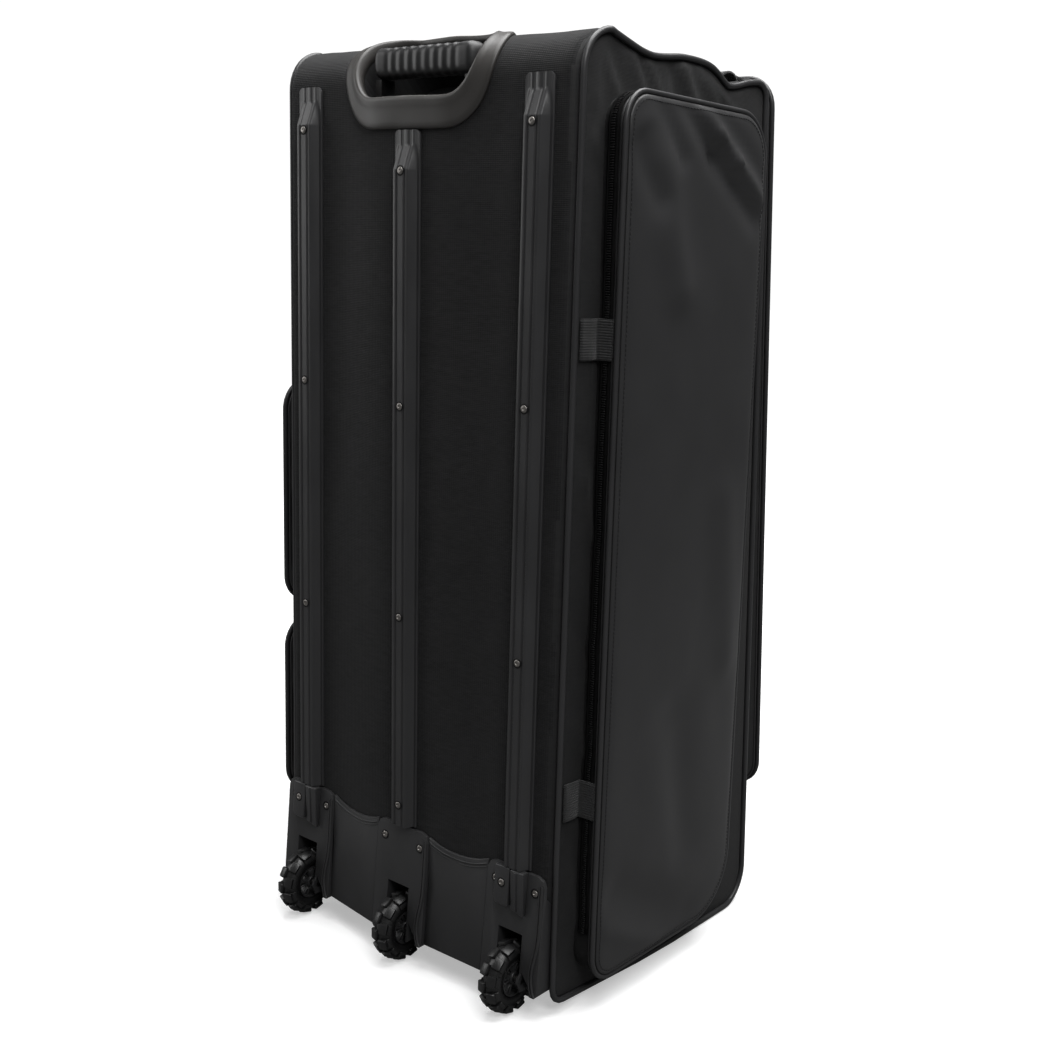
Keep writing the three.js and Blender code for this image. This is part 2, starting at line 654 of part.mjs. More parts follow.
// Hollow pocket, open towards the panel that it is sewn to.
// base and rise give the heights of that panel and of the pocket's face at a point.
function pocketShell(sides, base, rise, puff, folds, place) {
  const surface = new Surface();
  const skin = (inset) => {
    const outline = grown(sides, -inset);
    const foot = surface.row(loopOf(outline).map((p) => place(p.u, p.v, base(p.u, p.v) - CLOTH)));
    const face = filled(outline).map((row) => row.map((p) => {
      const pillow = puff * (16 * p.s * (1 - p.s) * p.t * (1 - p.t)) ** 0.45;
      const lift = pillow + foldLift(folds, p.u, p.v) * Math.min(1, pillow / puff);
      return place(p.u, p.v, rise(p.u, p.v) + lift - inset);
    }));
    const border = addGrid(surface, face, inset > 0);
    if (inset > 0) surface.strip(foot, border, true);
    else surface.strip(border, foot, true);
    return foot;
  };
  const outer = skin(0);
  const inner = skin(POCKET_CLOTH);
  surface.strip(outer, inner, true);
  return surface.geometry();
}

function pocketPiping(sides, rise, place, outward) {
  const reach = POCKET_PIPE_RADIUS + GAP;
  const centres = loopOf(grown(sides, reach)).map((p) => place(p.u, p.v, rise(p.u, p.v) - POCKET_PIPE_RADIUS));
  return bead(centres, centres.map(() => outward), POCKET_PIPE_RADIUS, 5);
}

// Zip tape round the low side, the top and the high side of a pocket's gusset
function pocketZip(sides, base, rise, place) {
  const track = (grow) => {
    const [low, top, high] = grown(sides, grow);
    return [...low.slice(2), ...top, ...high.slice(0, -1)];
  };
  const middle = (p) => lerp(base(p.u, p.v), rise(p.u, p.v), ZIP_SHARE);
  const inner = track(GAP);
  const outer = track(GAP + ZIP_THICKNESS);
  const sections = inner.map((p, i) => {
    const q = outer[i];
    const height = middle(p);
    const [low, high] = [height - ZIP_WIDTH / 2, height + ZIP_WIDTH / 2];
    return [place(p.u, p.v, low), place(q.u, q.v, low), place(q.u, q.v, high), place(p.u, p.v, high)];
  });
  return loft(sections, [[0, 0], [1, 0], [1, 1], [0, 1]]);
}

const onRight = (u, v, h) => at(h, u, v);
const onLeft = (u, v, h) => at(-h, u, v);
const onFront = (u, v, h) => at(u, h, v);
const sidePanel = (u, v) => HALF_WIDTH + sideLift(u, v);
const frontPanel = (u, v) => {
  const share = THREE.MathUtils.clamp((v - FRONT_BOTTOM_RADIUS) / (SEAM_FRONT_TOP.v - FRONT_BOTTOM_RADIUS), 0, 1);
  return lerp(DEPTH_BOTTOM, DEPTH_TOP, share) + FRONT_ROUND;
};

// Outline of a pocket's face with single steps on its straight stretches
const pathOf = ({ low, bottom, high, top, radius }) => pocketSides(low, bottom, high, top, radius, { up: 1, along: 1 });

function addPocket(name, sides, shape, place, outward, color) {
  const { base, rise, puff, folds, bounds } = shape;
  addPart(name, seated(solid(pocketShell(sides, base, rise, puff, folds, place))), cloth(color));
  addPart(`${name}_piping`, pocketPiping(pathOf(bounds), rise, place, outward), cloth(0x464647));
}

function addPockets() {
  const right = RIGHT_POCKET;
  const rightSides = pocketSides(right.low, right.bottom, right.high, right.top, right.radius, { up: 6, along: 3 });
  const folds = POCKET_FOLDS.map((fold) => ({
    u: lerp(right.low, right.high, fold.along),
    v: lerp(right.bottom, right.top, fold.up),
    toU: lerp(right.low, right.high, fold.toAlong),
    toV: lerp(right.bottom, right.top, fold.toUp),
    width: fold.width,
    lift: fold.lift,
  }));
  const rightFace = () => HALF_WIDTH + SIDE_BULGE + right.rise;
  addPocket('pocket_right', rightSides, { base: sidePanel, rise: rightFace, puff: right.puff, folds, bounds: right },
    onRight, at(1, 0, 0), 0x3b3b3d);
  addPart('pocket_right_zip', pocketZip(pathOf(right), sidePanel, rightFace, onRight), cloth(0x0c0c0c));

  const leftFace = () => HALF_WIDTH + SIDE_BULGE + LEFT_POCKET_RISE;
  for (const [name, span] of [['pocket_left_upper', LEFT_UPPER], ['pocket_left_lower', LEFT_LOWER]]) {
    const bounds = { low: LEFT_POCKET_LOW, high: LEFT_POCKET_HIGH, radius: right.radius, ...span };
    const sides = pocketSides(bounds.low, bounds.bottom, bounds.high, bounds.top, bounds.radius,
      { up: 1, along: 1 });
    addPocket(name, sides, { base: sidePanel, rise: leftFace, puff: right.puff, folds: [], bounds },
      onLeft, at(-1, 0, 0), 0x2c2c2d);
  }

  const front = FRONT_POCKET;
  const bounds = { low: -front.halfWidth, high: front.halfWidth, ...front };
  const frontSides = pocketSides(bounds.low, bounds.bottom, bounds.high, bounds.top, bounds.radius,
    { up: 3, along: 2 });
  const frontFace = (u, v) => frontPanel(u, v)
    + lerp(front.lowRise, front.rise, (v - front.bottom) / (front.top - front.bottom));
  addPocket('pocket_front', frontSides, { base: frontPanel, rise: frontFace, puff: front.puff, folds: [], bounds },
    onFront, at(0, 1, 0), 0x2c2c2d);
  addPart('pocket_front_zip', pocketZip(pathOf(bounds), frontPanel, frontFace, onFront), cloth(0x0c0c0c));
}

// Rails and rivets

const RAIL_PROFILE = (() => {
  const { half, depth, at: centre } = RAIL_GROOVE;
  const groove = (x) => [[x + half, 1], [x + half * 0.6, 1 - depth / RAIL_RIB_HEIGHT],
    [x - half * 0.6, 1 - depth / RAIL_RIB_HEIGHT], [x - half, 1]];
  return [[-RAIL_HALF_WIDTH, 0, 0], [RAIL_HALF_WIDTH, 0, 0], [RAIL_HALF_WIDTH, 0, 1], [RAIL_RIB_FOOT, 0, 1],
    [RAIL_RIB_HALF, 1, 1], ...groove(centre).map(([x, rib]) => [x, rib, 1]),
    ...groove(-centre).map(([x, rib]) => [x, rib, 1]), [-RAIL_RIB_HALF, 1, 1], [-RAIL_RIB_FOOT, 0, 1],
    [-RAIL_HALF_WIDTH, 0, 1]];
})();

const railSeat = (x, z) => -crownAt(x, z) - GAP;

// Rail with a ramped top end and a rounded tongue; its back lies on the back panel
function railGeometry(x, bottom, top) {
  const section = (z, ribShare, squeeze) => RAIL_PROFILE.map(([across, rib, flange]) => {
    const proud = RAIL_FLANGE * flange + (RAIL_RIB_HEIGHT - RAIL_FLANGE) * rib * ribShare;
    const limit = RAIL_HALF_WIDTH - squeeze;
    return at(x + Math.sign(across) * Math.min(Math.abs(across), limit), railSeat(x, z) - proud, z);
  });
  const sections = [
    section(bottom, 1, 0),
    section(top - RAIL_RAMP.start, 1, 0),
    section(top - RAIL_RAMP.end, RAIL_RAMP.foot, 0),
    section(top - RAIL_TONGUE.height, RAIL_RAMP.foot, 0),
    section(top, RAIL_RAMP.foot, RAIL_TONGUE.inset),
  ];
  return loft(sections, RAIL_PROFILE.map(([across, rib, flange]) => [across, flange + rib]));
}

function addRails() {
  const rails = [
    { side: 'left', x: -RAIL_SPACING, top: OUTER_RAIL_TOP, rivets: OUTER_RIVETS },
    { side: 'middle', x: 0, top: MIDDLE_RAIL_TOP, rivets: MIDDLE_RIVETS },
    { side: 'right', x: RAIL_SPACING, top: OUTER_RAIL_TOP, rivets: OUTER_RIVETS },
  ];
  for (const { side, x, top, rivets } of rails) {
    addPart(`rail_${side}`, railGeometry(x, RAIL_BOTTOM, top), moulded(0x333334));
    rivets.forEach((share, i) => {
      const z = lerp(top, RAIL_BOTTOM, share);
      const face = railSeat(x, z) - RAIL_RIB_HEIGHT - GAP;
      addPart(`rail_rivet_${side}_${i + 1}`, domeHead(RIVET_RADIUS, RIVET_HEIGHT, x, face, z), metal(0x8c8680));
    });
  }
}

// Wheels

// Tyre with two staggered rows of lugs
function tyreGeometry(x) {
  const surface = new Surface();
  const half = TYRE_WIDTH / 2;
  const tread = WHEEL_RADIUS - LUG_DEPTH;
  const profile = [
    { across: -half * 0.8, radius: RIM_RADIUS + GAP, lug: 0 },
    { across: -half, radius: tread - TYRE_SHOULDER, lug: 0.3 },
    { across: -half * 0.7, radius: tread - TYRE_SHOULDER / 3, lug: 1 },
    { across: -half * 0.05, radius: tread, lug: 1 },
    { across: half * 0.05, radius: tread, lug: -1 },
    { across: half * 0.7, radius: tread - TYRE_SHOULDER / 3, lug: -1 },
    { across: half, radius: tread - TYRE_SHOULDER, lug: -0.3 },
    { across: half * 0.8, radius: RIM_RADIUS + GAP, lug: 0 },
  ];
  const rings = Array.from({ length: LUG_STEPS }, (_, i) => {
    const angle = (2 * Math.PI * (i - 0.5 + (i % 2 ? 0.25 : -0.25))) / LUG_STEPS - Math.PI / 2;
    const raised = i % 4 < 2 ? 1 : -1;
    return surface.row(profile.map(({ across, radius, lug }) => {
      const reach = radius + (lug * raised > 0 ? LUG_DEPTH * Math.abs(lug) : 0);
      return at(x + across, WHEEL_SETBACK + reach * Math.cos(angle), AXLE_HEIGHT + reach * Math.sin(angle));
    }));
  });
  rings.forEach((ring, i) => surface.strip(ring, rings[(i + 1) % LUG_STEPS], true));
  return surface.geometry();
}

// Points on a circle round the origin, from one share of a turn to another
function turn(radius, from, to, count) {
  return Array.from({ length: count + 1 }, (_, i) => {
    const angle = 2 * Math.PI * lerp(from, to, i / count);
    return [radius * Math.cos(angle), radius * Math.sin(angle)];
  });
}

// Spoked rim with a hub
function rimGeometry(x) {
  const shape = polygon(turn(RIM_RADIUS, 0, 1, 18).slice(1));
  shape.holes.push(polygon(turn(AXLE_RADIUS + RUNNING_GAP, 0, 1, 8).slice(1)));
  for (let i = 0; i < RIM_SPOKES; i++) {
    const at0 = (i + 0.18) / RIM_SPOKES;
    const at1 = (i + 0.82) / RIM_SPOKES;
    shape.holes.push(polygon([
      ...turn(RIM_RADIUS - 2.6, at0, at1, 2),
      ...turn(HUB_RADIUS, lerp(at1, at0, 0.25), lerp(at1, at0, 0.75), 1),
    ]));
  }
  return alongX(shape, -RIM_WIDTH / 2, RIM_WIDTH / 2).translate(x, WHEEL_SETBACK, AXLE_HEIGHT);
}

// Wheel housings

const slotFrom = WHEEL_OFFSET - TYRE_WIDTH / 2 - WHEEL_SIDE_GAP;
const slotTo = WHEEL_OFFSET + TYRE_WIDTH / 2 + WHEEL_SIDE_GAP;

// Outer face of a housing at a height
function housingFace(z) {
  return lerp(HOUSING_FACE_BOTTOM, HOUSING_FACE_TOP, (z - HOUSING_BOTTOM) / (HOUSING_TOP - HOUSING_BOTTOM));
}

function housingOutline(inset) {
  const [top, bottom] = [HOUSING_TOP - inset, HOUSING_BOTTOM + inset];
  const wide = HOUSING_HALF - inset;
  const cut = HOUSING_RADIUS;
  const bend = cut * 0.3;
  return polygon([[-wide, bottom + bend], [-wide + bend, bottom], [wide - bend, bottom], [wide, bottom + bend],
    [wide, top - cut], [wide - bend, top - bend], [wide - cut, top],
    [-wide + cut, top], [-wide + bend, top - bend], [-wide, top - cut]]);
}

// Outline of a housing in Y and Z
function housingSide(forward, inset) {
  const reach = RECESS_DEPTH - GAP;
  const seat = forward ? -GAP - crownAt(0, HOUSING_TOP) : -GAP;
  return polygon([
    [HOUSING_FACE_BOTTOM - forward + inset, HOUSING_BOTTOM - 1],
    [reach, HOUSING_BOTTOM - 1],
    [reach, RECESS_TOP],
    [seat, RECESS_END],
    [seat, HOUSING_TOP + 1],
    [HOUSING_FACE_TOP - forward + inset, HOUSING_TOP + 1],
  ]);
}

function housingGeometry(x, forward) {
  const half = HOUSING_HALF + 1;
  const front = housingFace(HOUSING_BOTTOM) - forward - SLOT_REACH;
  const reach = RECESS_DEPTH - GAP;
  const block = (inset) => solid(alongX(housingSide(forward, inset), -half, half))
    .intersect(solid(alongY(housingOutline(inset), -BEYOND, BEYOND)));
  const hollow = block(HOUSING_WALL).intersect(solid(box([-half, -BEYOND, 0], [half, BEYOND, RECESS_TOP])));
  const well = (grow, back, roof) => solid(box(
    [slotFrom - grow, front, HOUSING_BOTTOM - BEYOND],
    [slotTo + grow, back, roof],
  ));
  const wellOuter = well(WELL_WALL, reach, SLOT_TOP + WELL_WALL).intersect(block(0));
  const wellInner = well(0, reach - WELL_WALL, SLOT_TOP);
  // Lug round the axle: Y and Z from the axle's centre in ear radii, closed by the housing's low edge
  const earOutline = [[-0.8, 0.6], [-1, 0], [-0.6, -0.8]].map(([u, v]) => [
    WHEEL_SETBACK + EAR_RADIUS * u,
    AXLE_HEIGHT + EAR_RADIUS * v,
  ]);
  const earShape = polygon([
    [0, AXLE_HEIGHT + EAR_RADIUS * 2.6],
    ...earOutline,
    [WHEEL_SETBACK + EAR_RADIUS * 0.4, HOUSING_BOTTOM],
    [0, HOUSING_BOTTOM],
  ]);
  const ear = (from, to) => solid(alongX(earShape, from, to));
  const edge = slotTo - 1;
  const flare = solid(alongY(
    polygon([[edge, FLARE.height], [edge, 0], [slotTo + FLARE.width, 0], [slotTo + FLARE.waist, FLARE.waistHeight]]),
    front,
    -HOUSING_WALL - forward,
  ));
  const bore = solid(pinAlongX(AXLE_RADIUS + GAP, slotFrom - EAR_RADIUS, slotTo + EAR_RADIUS,
    WHEEL_SETBACK, AXLE_HEIGHT, 8));
  const body = block(0).subtract(hollow).subtract(flare).add(wellOuter)
    .subtract(wellInner)
    .add(ear(slotFrom - WELL_WALL, slotFrom))
    .add(ear(slotTo, slotTo + WELL_WALL))
    .subtract(bore)
    .translate([x, 0, 0]);
  return seated(body);
}

function clipGeometry(x) {
  const face = (z) => housingFace(z) - GAP;
  const top = RAIL_BOTTOM - GAP;
  const outline = polygon([
    [face(CLIP.bottom), CLIP.bottom],
    [face(top), top],
    [face(top) - CLIP.height, top],
    [face(CLIP.bottom) - CLIP.height, CLIP.bottom + CLIP.chamfer],
    [face(CLIP.bottom) - CLIP.height * 0.3, CLIP.bottom],
  ]);
  return alongX(outline, x - CLIP.half, x + CLIP.half);
}

// Panel between the middle housing and an outer one; sign is the side that it is on
function kickPanelGeometry(sign) {
  const from = HOUSING_HALF + GAP;
  const to = RAIL_SPACING - HOUSING_HALF - GAP;
  const nearMiddle = (sign < 0 ? 0 : KICK_STEP) - MIDDLE_FORWARD;
  const nearOuter = sign < 0 ? KICK_STEP : 0;
  const steps = 6;
  const sections = Array.from({ length: steps + 1 }, (_, i) => {
    const share = i / steps;
    const x = lerp(from, to, share);
    const proud = crownAt(x, KICK_TOP);
    const top = KICK_TOP - KICK_DIP * 4 * share * (1 - share);
    const step = lerp(nearMiddle, nearOuter, share);
    const face = (z) => Math.min(housingFace(z) + step, -proud - GAP - KICK_WALL);
    const reach = RECESS_DEPTH - GAP;
    const floor = KICK_BOTTOM + KICK_WALL;
    return [
      [face(KICK_BOTTOM), KICK_BOTTOM], [reach, KICK_BOTTOM], [reach, floor],
      [face(floor) + KICK_WALL, floor], [face(RECESS_TOP) + KICK_WALL, RECESS_TOP],
      [face(top) + KICK_WALL, top], [face(top), top], [face(RECESS_TOP), RECESS_TOP],
    ].map(([y, z]) => at(sign * x, y, z));
  });
  const outline = sections[0].map((p) => [p.y, p.z]);
  return seated(solid(loft(sections, outline)));
}

function addBase() {
  const housings = [
    { side: 'left', x: -RAIL_SPACING, forward: 0 },
    { side: 'middle', x: 0, forward: MIDDLE_FORWARD },
    { side: 'right', x: RAIL_SPACING, forward: 0 },
  ];
  for (const { side, x, forward } of housings) {
    addPart(`wheel_housing_${side}`, housingGeometry(x, forward), moulded(0x303031));
    const height = HOUSING_TOP - PLATE_RIVET.drop;
    const face = housingFace(height) - forward - GAP;
    for (const [tag, sign] of [['a', -1], ['b', 1]]) {
      addPart(`housing_rivet_${side}_${tag}`,
        domeHead(RIVET_RADIUS, RIVET_HEIGHT, x + sign * PLATE_RIVET.across, face - RIVET_LEAN, height), metal(0x8c8680));
    }
    const wheelX = x + WHEEL_OFFSET;
    addPart(`tyre_${side}`, tyreGeometry(wheelX), moulded(0x2a2a2a));
    addPart(`rim_${side}`, rimGeometry(wheelX), moulded(0x3a3a3b));
    addPart(`axle_${side}`, pinAlongX(AXLE_RADIUS, x + slotFrom - WELL_WALL, x + slotTo + WELL_WALL,
      WHEEL_SETBACK, AXLE_HEIGHT, 8), metal(0x77736e));
  }
  for (const [side, x] of [['left', -RAIL_SPACING], ['right', RAIL_SPACING]]) {
    addPart(`rail_clip_${side}`, clipGeometry(x), moulded(0x363637));
  }
  addPart('kick_panel_left', kickPanelGeometry(-1), moulded(0x303031));
  addPart('kick_panel_right', kickPanelGeometry(1), moulded(0x303031));
}

// Trolley handle

function addHandle() {
  const collarSkin = solid(bodySkin(GAP + COLLAR_THICKNESS, FINE)).subtract(solid(bodySkin(GAP, FINE)));
  const collarRing = wellPrism(COLLAR_HALF_WIDTH, COLLAR_LOW, COLLAR_HIGH, COLLAR_RADIUS, WELL_FLOOR, OUTSIDE)
    .subtract(wellOutline(0, WELL_FLOOR, OUTSIDE));
  addPart('handle_collar', geometryOf(collarSkin.intersect(collarRing)), moulded(0x393836));

  const lowWall = (WELL_LOW - CUP_WALL) * Math.SQRT2;
  const guideTop = lowWall - POST_SETBACK - POST_DEPTH / 2 - RUNNING_GAP - GUIDE_WALL - GAP * Math.SQRT2;
  const post = (sign, grow, bottom, top) => box(
    [sign * POST_SPACING - POST_WIDTH / 2 - grow, POST_SETBACK - POST_DEPTH / 2 - grow, bottom],
    [sign * POST_SPACING + POST_WIDTH / 2 + grow, POST_SETBACK + POST_DEPTH / 2 + grow, top],
  );
  const cup = wellOutline(CUP_WALL, WELL_FLOOR - CUP_WALL, OUTSIDE)
    .subtract(wellOutline(0, WELL_FLOOR, OUTSIDE + 1))
    .intersect(bodySolid)
    .subtract(solid(post(-1, RUNNING_GAP, GUIDE_BOTTOM, GRIP.top)))
    .subtract(solid(post(1, RUNNING_GAP, GUIDE_BOTTOM, GRIP.top)));
  addPart('handle_cup', geometryOf(cup), moulded(0x232323));

  const { halfWidth, depth, bottom, top, radius } = GRIP;
  const outline = roundedRectangle(-halfWidth, bottom, halfWidth, top, radius);
  const grip = solid(alongY(outline, POST_SETBACK - depth / 2, POST_SETBACK + depth / 2))
    .subtract(solid(box([-halfWidth + FINGER_CUT.inset, POST_SETBACK - depth, bottom - BEYOND],
      [halfWidth - FINGER_CUT.inset, POST_SETBACK + depth, bottom + FINGER_CUT.depth])));
  addPart('handle_grip', geometryOf(grip), moulded(0x262626));

  const interior = solid(bodySkin(-CLOTH - GAP, COARSE));
  for (const [side, sign] of [['left', -1], ['right', 1]]) {
    addPart(`handle_post_${side}`, post(sign, 0, POST_BOTTOM, bottom - GAP), metal(0x4a4a4b));
    const sleeve = solid(post(sign, RUNNING_GAP + GUIDE_WALL, GUIDE_BOTTOM, guideTop))
      .add(solid(box(
        [sign * POST_SPACING - POST_WIDTH / 2, -CROWN_HIGH, GUIDE_BOTTOM],
        [sign * POST_SPACING + POST_WIDTH / 2, POST_SETBACK - POST_DEPTH / 2, guideTop],
      )))
      .subtract(solid(post(sign, RUNNING_GAP, GUIDE_BOTTOM - 1, guideTop + 1)))
      .intersect(interior);
    addPart(`handle_guide_${side}`, geometryOf(sleeve), metal(0x6a6a6b));
  }
}

// Webbing

// Strap that lies on the side panel from the seam to the pocket and climbs its gusset
function sideBandGeometry(centre) {
  const pocket = RIGHT_POCKET;
  const wall = pocket.low - GAP - ZIP_THICKNESS - GAP;
  const climb = HALF_WIDTH + SIDE_BULGE + pocket.rise - 2 * POCKET_PIPE_RADIUS - GAP;
  const [low, high] = [centre - WEBBING_WIDTH / 2, centre + WEBBING_WIDTH / 2];
  const start = SEAM_SETBACK + SEAM_PIPE_RADIUS + 2;
  const corner = wall - WEBBING_THICKNESS;
  const floorAt = (u) => Math.max(sidePanel(u, low), sidePanel(u, high), sidePanel(u, centre)) + GAP;
  const under = [start, lerp(start, corner, 0.5), corner, wall].map((u) => [u, floorAt(u)]);
  const over = [[wall, climb], [corner, climb], [corner, floorAt(corner) + WEBBING_THICKNESS],
    [lerp(start, corner, 0.5), floorAt(lerp(start, corner, 0.5)) + WEBBING_THICKNESS],
    [start, floorAt(start) + WEBBING_THICKNESS]];
  const outline = [...under, ...over];
  return loft([low, high].map((z) => outline.map(([u, h]) => onRight(u, z, h))), outline);
}

// Flat webbing tab on the top panel beside the right seam
function topTabGeometry() {
  const seamHeight = (u) => {
    const share = u / DEPTH_TOP;
    const next = TOP_LINE.findIndex((row) => row.depth >= share);
    const [a, b] = [TOP_LINE[next - 1], TOP_LINE[next]];
    return HEIGHT * (1 - lerp(a.drop, b.drop, (share - a.depth) / (b.depth - a.depth)));
  };
  const marks = TOP_LINE.map((row) => row.depth).filter((depth) => depth > TOP_TAB.from && depth < TOP_TAB.to);
  const places = [TOP_TAB.from, ...marks, TOP_TAB.to].map((share) => share * DEPTH_TOP);
  const right = HALF_WIDTH - TOP_TAB.inset;
  const left = right - TOP_TAB.width;
  const sections = places.map((u) => {
    const floor = seamHeight(u);
    const face = floor + TOP_RISE + GAP + TOP_TAB.thickness;
    return [at(left, u, floor), at(right, u, floor), at(right, u, face), at(left, u, face)];
  });
  return seated(solid(loft(sections, [[0, 0], [1, 0], [1, 1], [0, 1]])));
}

function addWebbing() {
  addPart('side_webbing_upper', sideBandGeometry(BAND_CENTRES[0]), cloth(0x333334));
  addPart('side_webbing_lower', sideBandGeometry(BAND_CENTRES[1]), cloth(0x333334));
  addPart('top_webbing', topTabGeometry(), cloth(0x4a4a4b));
}

addBody();
addSeamPiping('seam_piping_left', -1);
addSeamPiping('seam_piping_right', 1);
addPockets();
addRails();
addBase();
addHandle();
addWebbing();

// The origin stands under the middle of the whole bag
const bounds = new THREE.Box3().setFromObject(bag);
bag.position.set(-(bounds.min.x + bounds.max.x) / 2, -(bounds.min.y + bounds.max.y) / 2, -bounds.min.z);

export default bag;
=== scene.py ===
import math

import bmesh
import bpy
from bpy.props import FloatProperty, FloatVectorProperty, IntProperty, PointerProperty
from mathutils import Matrix, Vector, noise
from mathutils.bvhtree import BVHTree


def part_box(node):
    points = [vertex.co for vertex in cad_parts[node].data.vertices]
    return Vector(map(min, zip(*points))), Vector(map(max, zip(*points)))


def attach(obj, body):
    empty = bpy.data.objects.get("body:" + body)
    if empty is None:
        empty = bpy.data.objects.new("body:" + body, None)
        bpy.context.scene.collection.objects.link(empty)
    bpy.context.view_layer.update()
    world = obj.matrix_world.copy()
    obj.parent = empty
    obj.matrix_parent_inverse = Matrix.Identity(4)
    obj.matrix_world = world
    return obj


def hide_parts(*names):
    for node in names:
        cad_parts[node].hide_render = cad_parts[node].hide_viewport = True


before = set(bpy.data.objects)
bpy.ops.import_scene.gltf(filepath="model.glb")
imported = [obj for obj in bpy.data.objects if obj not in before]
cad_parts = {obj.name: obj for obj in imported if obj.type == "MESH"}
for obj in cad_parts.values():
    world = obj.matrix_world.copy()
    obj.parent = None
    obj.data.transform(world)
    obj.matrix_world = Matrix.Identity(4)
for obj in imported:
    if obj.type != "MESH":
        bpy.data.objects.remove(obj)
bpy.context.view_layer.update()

bl_info = {
    "name": "Wheeled kit bag",
    "version": (1, 0, 0),
    "blender": (4, 5, 0),
    "location": "3D View > Sidebar > Kit bag",
    "description": "Builds the visible pieces of a tall wheeled kit bag over its engineered frame",
    "category": "Add Mesh",
}

MM = 0.001

# Shift from the measured places, in millimetres with the back panel at Y 0, to the frame
_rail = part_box("rail_middle")
_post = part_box("handle_post_left")
SHIFT_X = (_rail[0][0] + _rail[1][0]) / 2 / MM
POST_Y = 14
SHIFT_Y = (_post[0][1] + _post[1][1]) / 2 / MM - POST_Y
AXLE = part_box("axle_left")
AXLE_HEIGHT = (AXLE[0][2] + AXLE[1][2]) / 2 / MM

# Cloth body, millimetres
HALF_WIDTH = 185
HEIGHT = 916
DEPTH_TOP = 303
DEPTH_BOTTOM = 351
CLOTH = 2.5
SEAM_SETBACK = 10
SEAM_ROUND = 9
CROWN_LOW = 5
CROWN_HIGH = 12
TOP_RISE = 3
STRIP_ROLL = 26  # a soft roll of cloth runs up a side panel, this far from its back
FRONT_ROUND = 5
SIDE_BULGE = 6
BACK_TOP_RADIUS = 36
FRONT_TOP_RADIUS = 14
FRONT_BOTTOM_RADIUS = 40
BACK_BOTTOM_RADIUS = 16
BASE_LIFT = 14
REST_LENGTH = 100
RECESS_DEPTH = 34
RECESS_HALF = 168
RECESS_TOP = 92
RECESS_END = 126
RAIL_SPACING = 148
HOUSING_HALF = 36

# Top seam: share of the top depth, drop as a share of the height
TOP_LINE = [
    (0.165, 0.002), (0.25, 0.0098), (0.303, 0.014), (0.36, 0.016), (0.43, 0.0145), (0.506, 0.0121),
    (0.60, 0.0126), (0.667, 0.0159), (0.715, 0.0225), (0.765, 0.0311), (0.82, 0.030), (0.88, 0.0255),
    (0.94, 0.0227),
]

# Straight stretch of the front panel: its foot and its top
FRONT_FOOT = FRONT_BOTTOM_RADIUS
FRONT_HEAD = HEIGHT * 0.9858 - FRONT_TOP_RADIUS

# Folds of the side panels: from and to (share of top depth, share of height), width, lift
SIDE_FOLDS = [
    ((0.119, 0.984), (0.178, 0.95), 6, 3.5),
    ((0.15, 0.984), (0.215, 0.95), 8, -3),
    ((0.258, 0.983), (0.33, 0.945), 7, 4),
    ((0.321, 0.985), (0.39, 0.945), 6, 3.5),
    ((0.29, 0.984), (0.36, 0.94), 6, -3),
    ((0.45, 0.984), (0.50, 0.94), 10, -3.5),
    ((0.509, 0.981), (0.57, 0.95), 6, 3.5),
    ((0.611, 0.977), (0.71, 0.95), 6, 4),
    ((0.651, 0.974), (0.79, 0.945), 6, 4),
    ((0.63, 0.976), (0.75, 0.945), 5, -3),
    ((0.05, 0.60), (0.12, 0.52), 9, 3),
    ((0.05, 0.44), (0.13, 0.40), 9, -3),
    ((0.05, 0.16), (0.13, 0.10), 9, 3.5),
    ((0.05, 0.34), (0.13, 0.29), 8, 3),
]

# Creases of the right pocket's face: from and to (share across, share up), width, lift
POCKET_FOLDS = [
    ((0.44, 1.0), (0.588, 0.967), 9, 7.5),
    ((0.60, 0.965), (0.721, 0.939), 9, 8.25),
    ((0.735, 0.936), (0.95, 0.90), 10, 7.5),
    ((0.34, 1.0), (0.56, 0.95), 12, -7.5),
    ((0.58, 0.945), (0.90, 0.88), 14, -7.5),
    ((0.62, 0.99), (0.93, 0.93), 10, -4.5),
    ((0.208, 0.989), (0.34, 0.94), 10, -5.25),
    ((0.0, 0.961), (0.12, 0.978), 6, 4.5),
    ((0.04, 0.95), (0.19, 0.895), 14, -6),
    ((0.20, 0.93), (0.34, 0.80), 22, 4.5),
    ((0.10, 0.10), (0.62, 0.02), 22, -6),
    ((0.05, 0.06), (0.45, 0.0), 9, 4.5),
    ((0.45, 0.30), (0.60, 0.12), 26, -3.75),
    ((0.75, 0.55), (0.85, 0.35), 24, 3.75),
]

SEAM_PIPE = 3.0
POCKET_PIPE = 2.6
GAP = 0.3
LID = (150, 36, 872, 36)  # half width, bottom, top, corner radius
LID_LAP = 8  # how far the lid reaches over the edge of its opening
LID_BEHIND = 250  # the opening is cut only in faces of the body beyond this Y
MAIN_ZIP = 10
POCKET_CLOTH = 2.0

# Pockets: edges of the face in the plane of its panel, corner radii (foot and head are the far corners),
# rise of the face, how far it puffs out, and how much narrower and lower it gets towards its top far corner
LEFT_POCKET = dict(low=28, high=266, radius=26, foot=26, head=26, rise=34, puff=8, narrow=0, drop=0)
POCKETS = {
    "right": dict(low=41, high=272, bottom=34, top=865, radius=26, foot=62, head=40, rise=23, puff=8,
                  narrow=9, drop=7),
    "left_upper": dict(LEFT_POCKET, bottom=338, top=577),
    "left_lower": dict(LEFT_POCKET, bottom=112, top=309),
    "front": dict(low=-146, high=146, bottom=102, top=910, radius=28, foot=28, head=28, rise=76,
                  low_rise=92, puff=7, narrow=0, drop=0),
}
GUSSET_STEPS = 8
GUSSET_TOP = HEIGHT - 34  # the front pocket's side wall meets the lid no higher

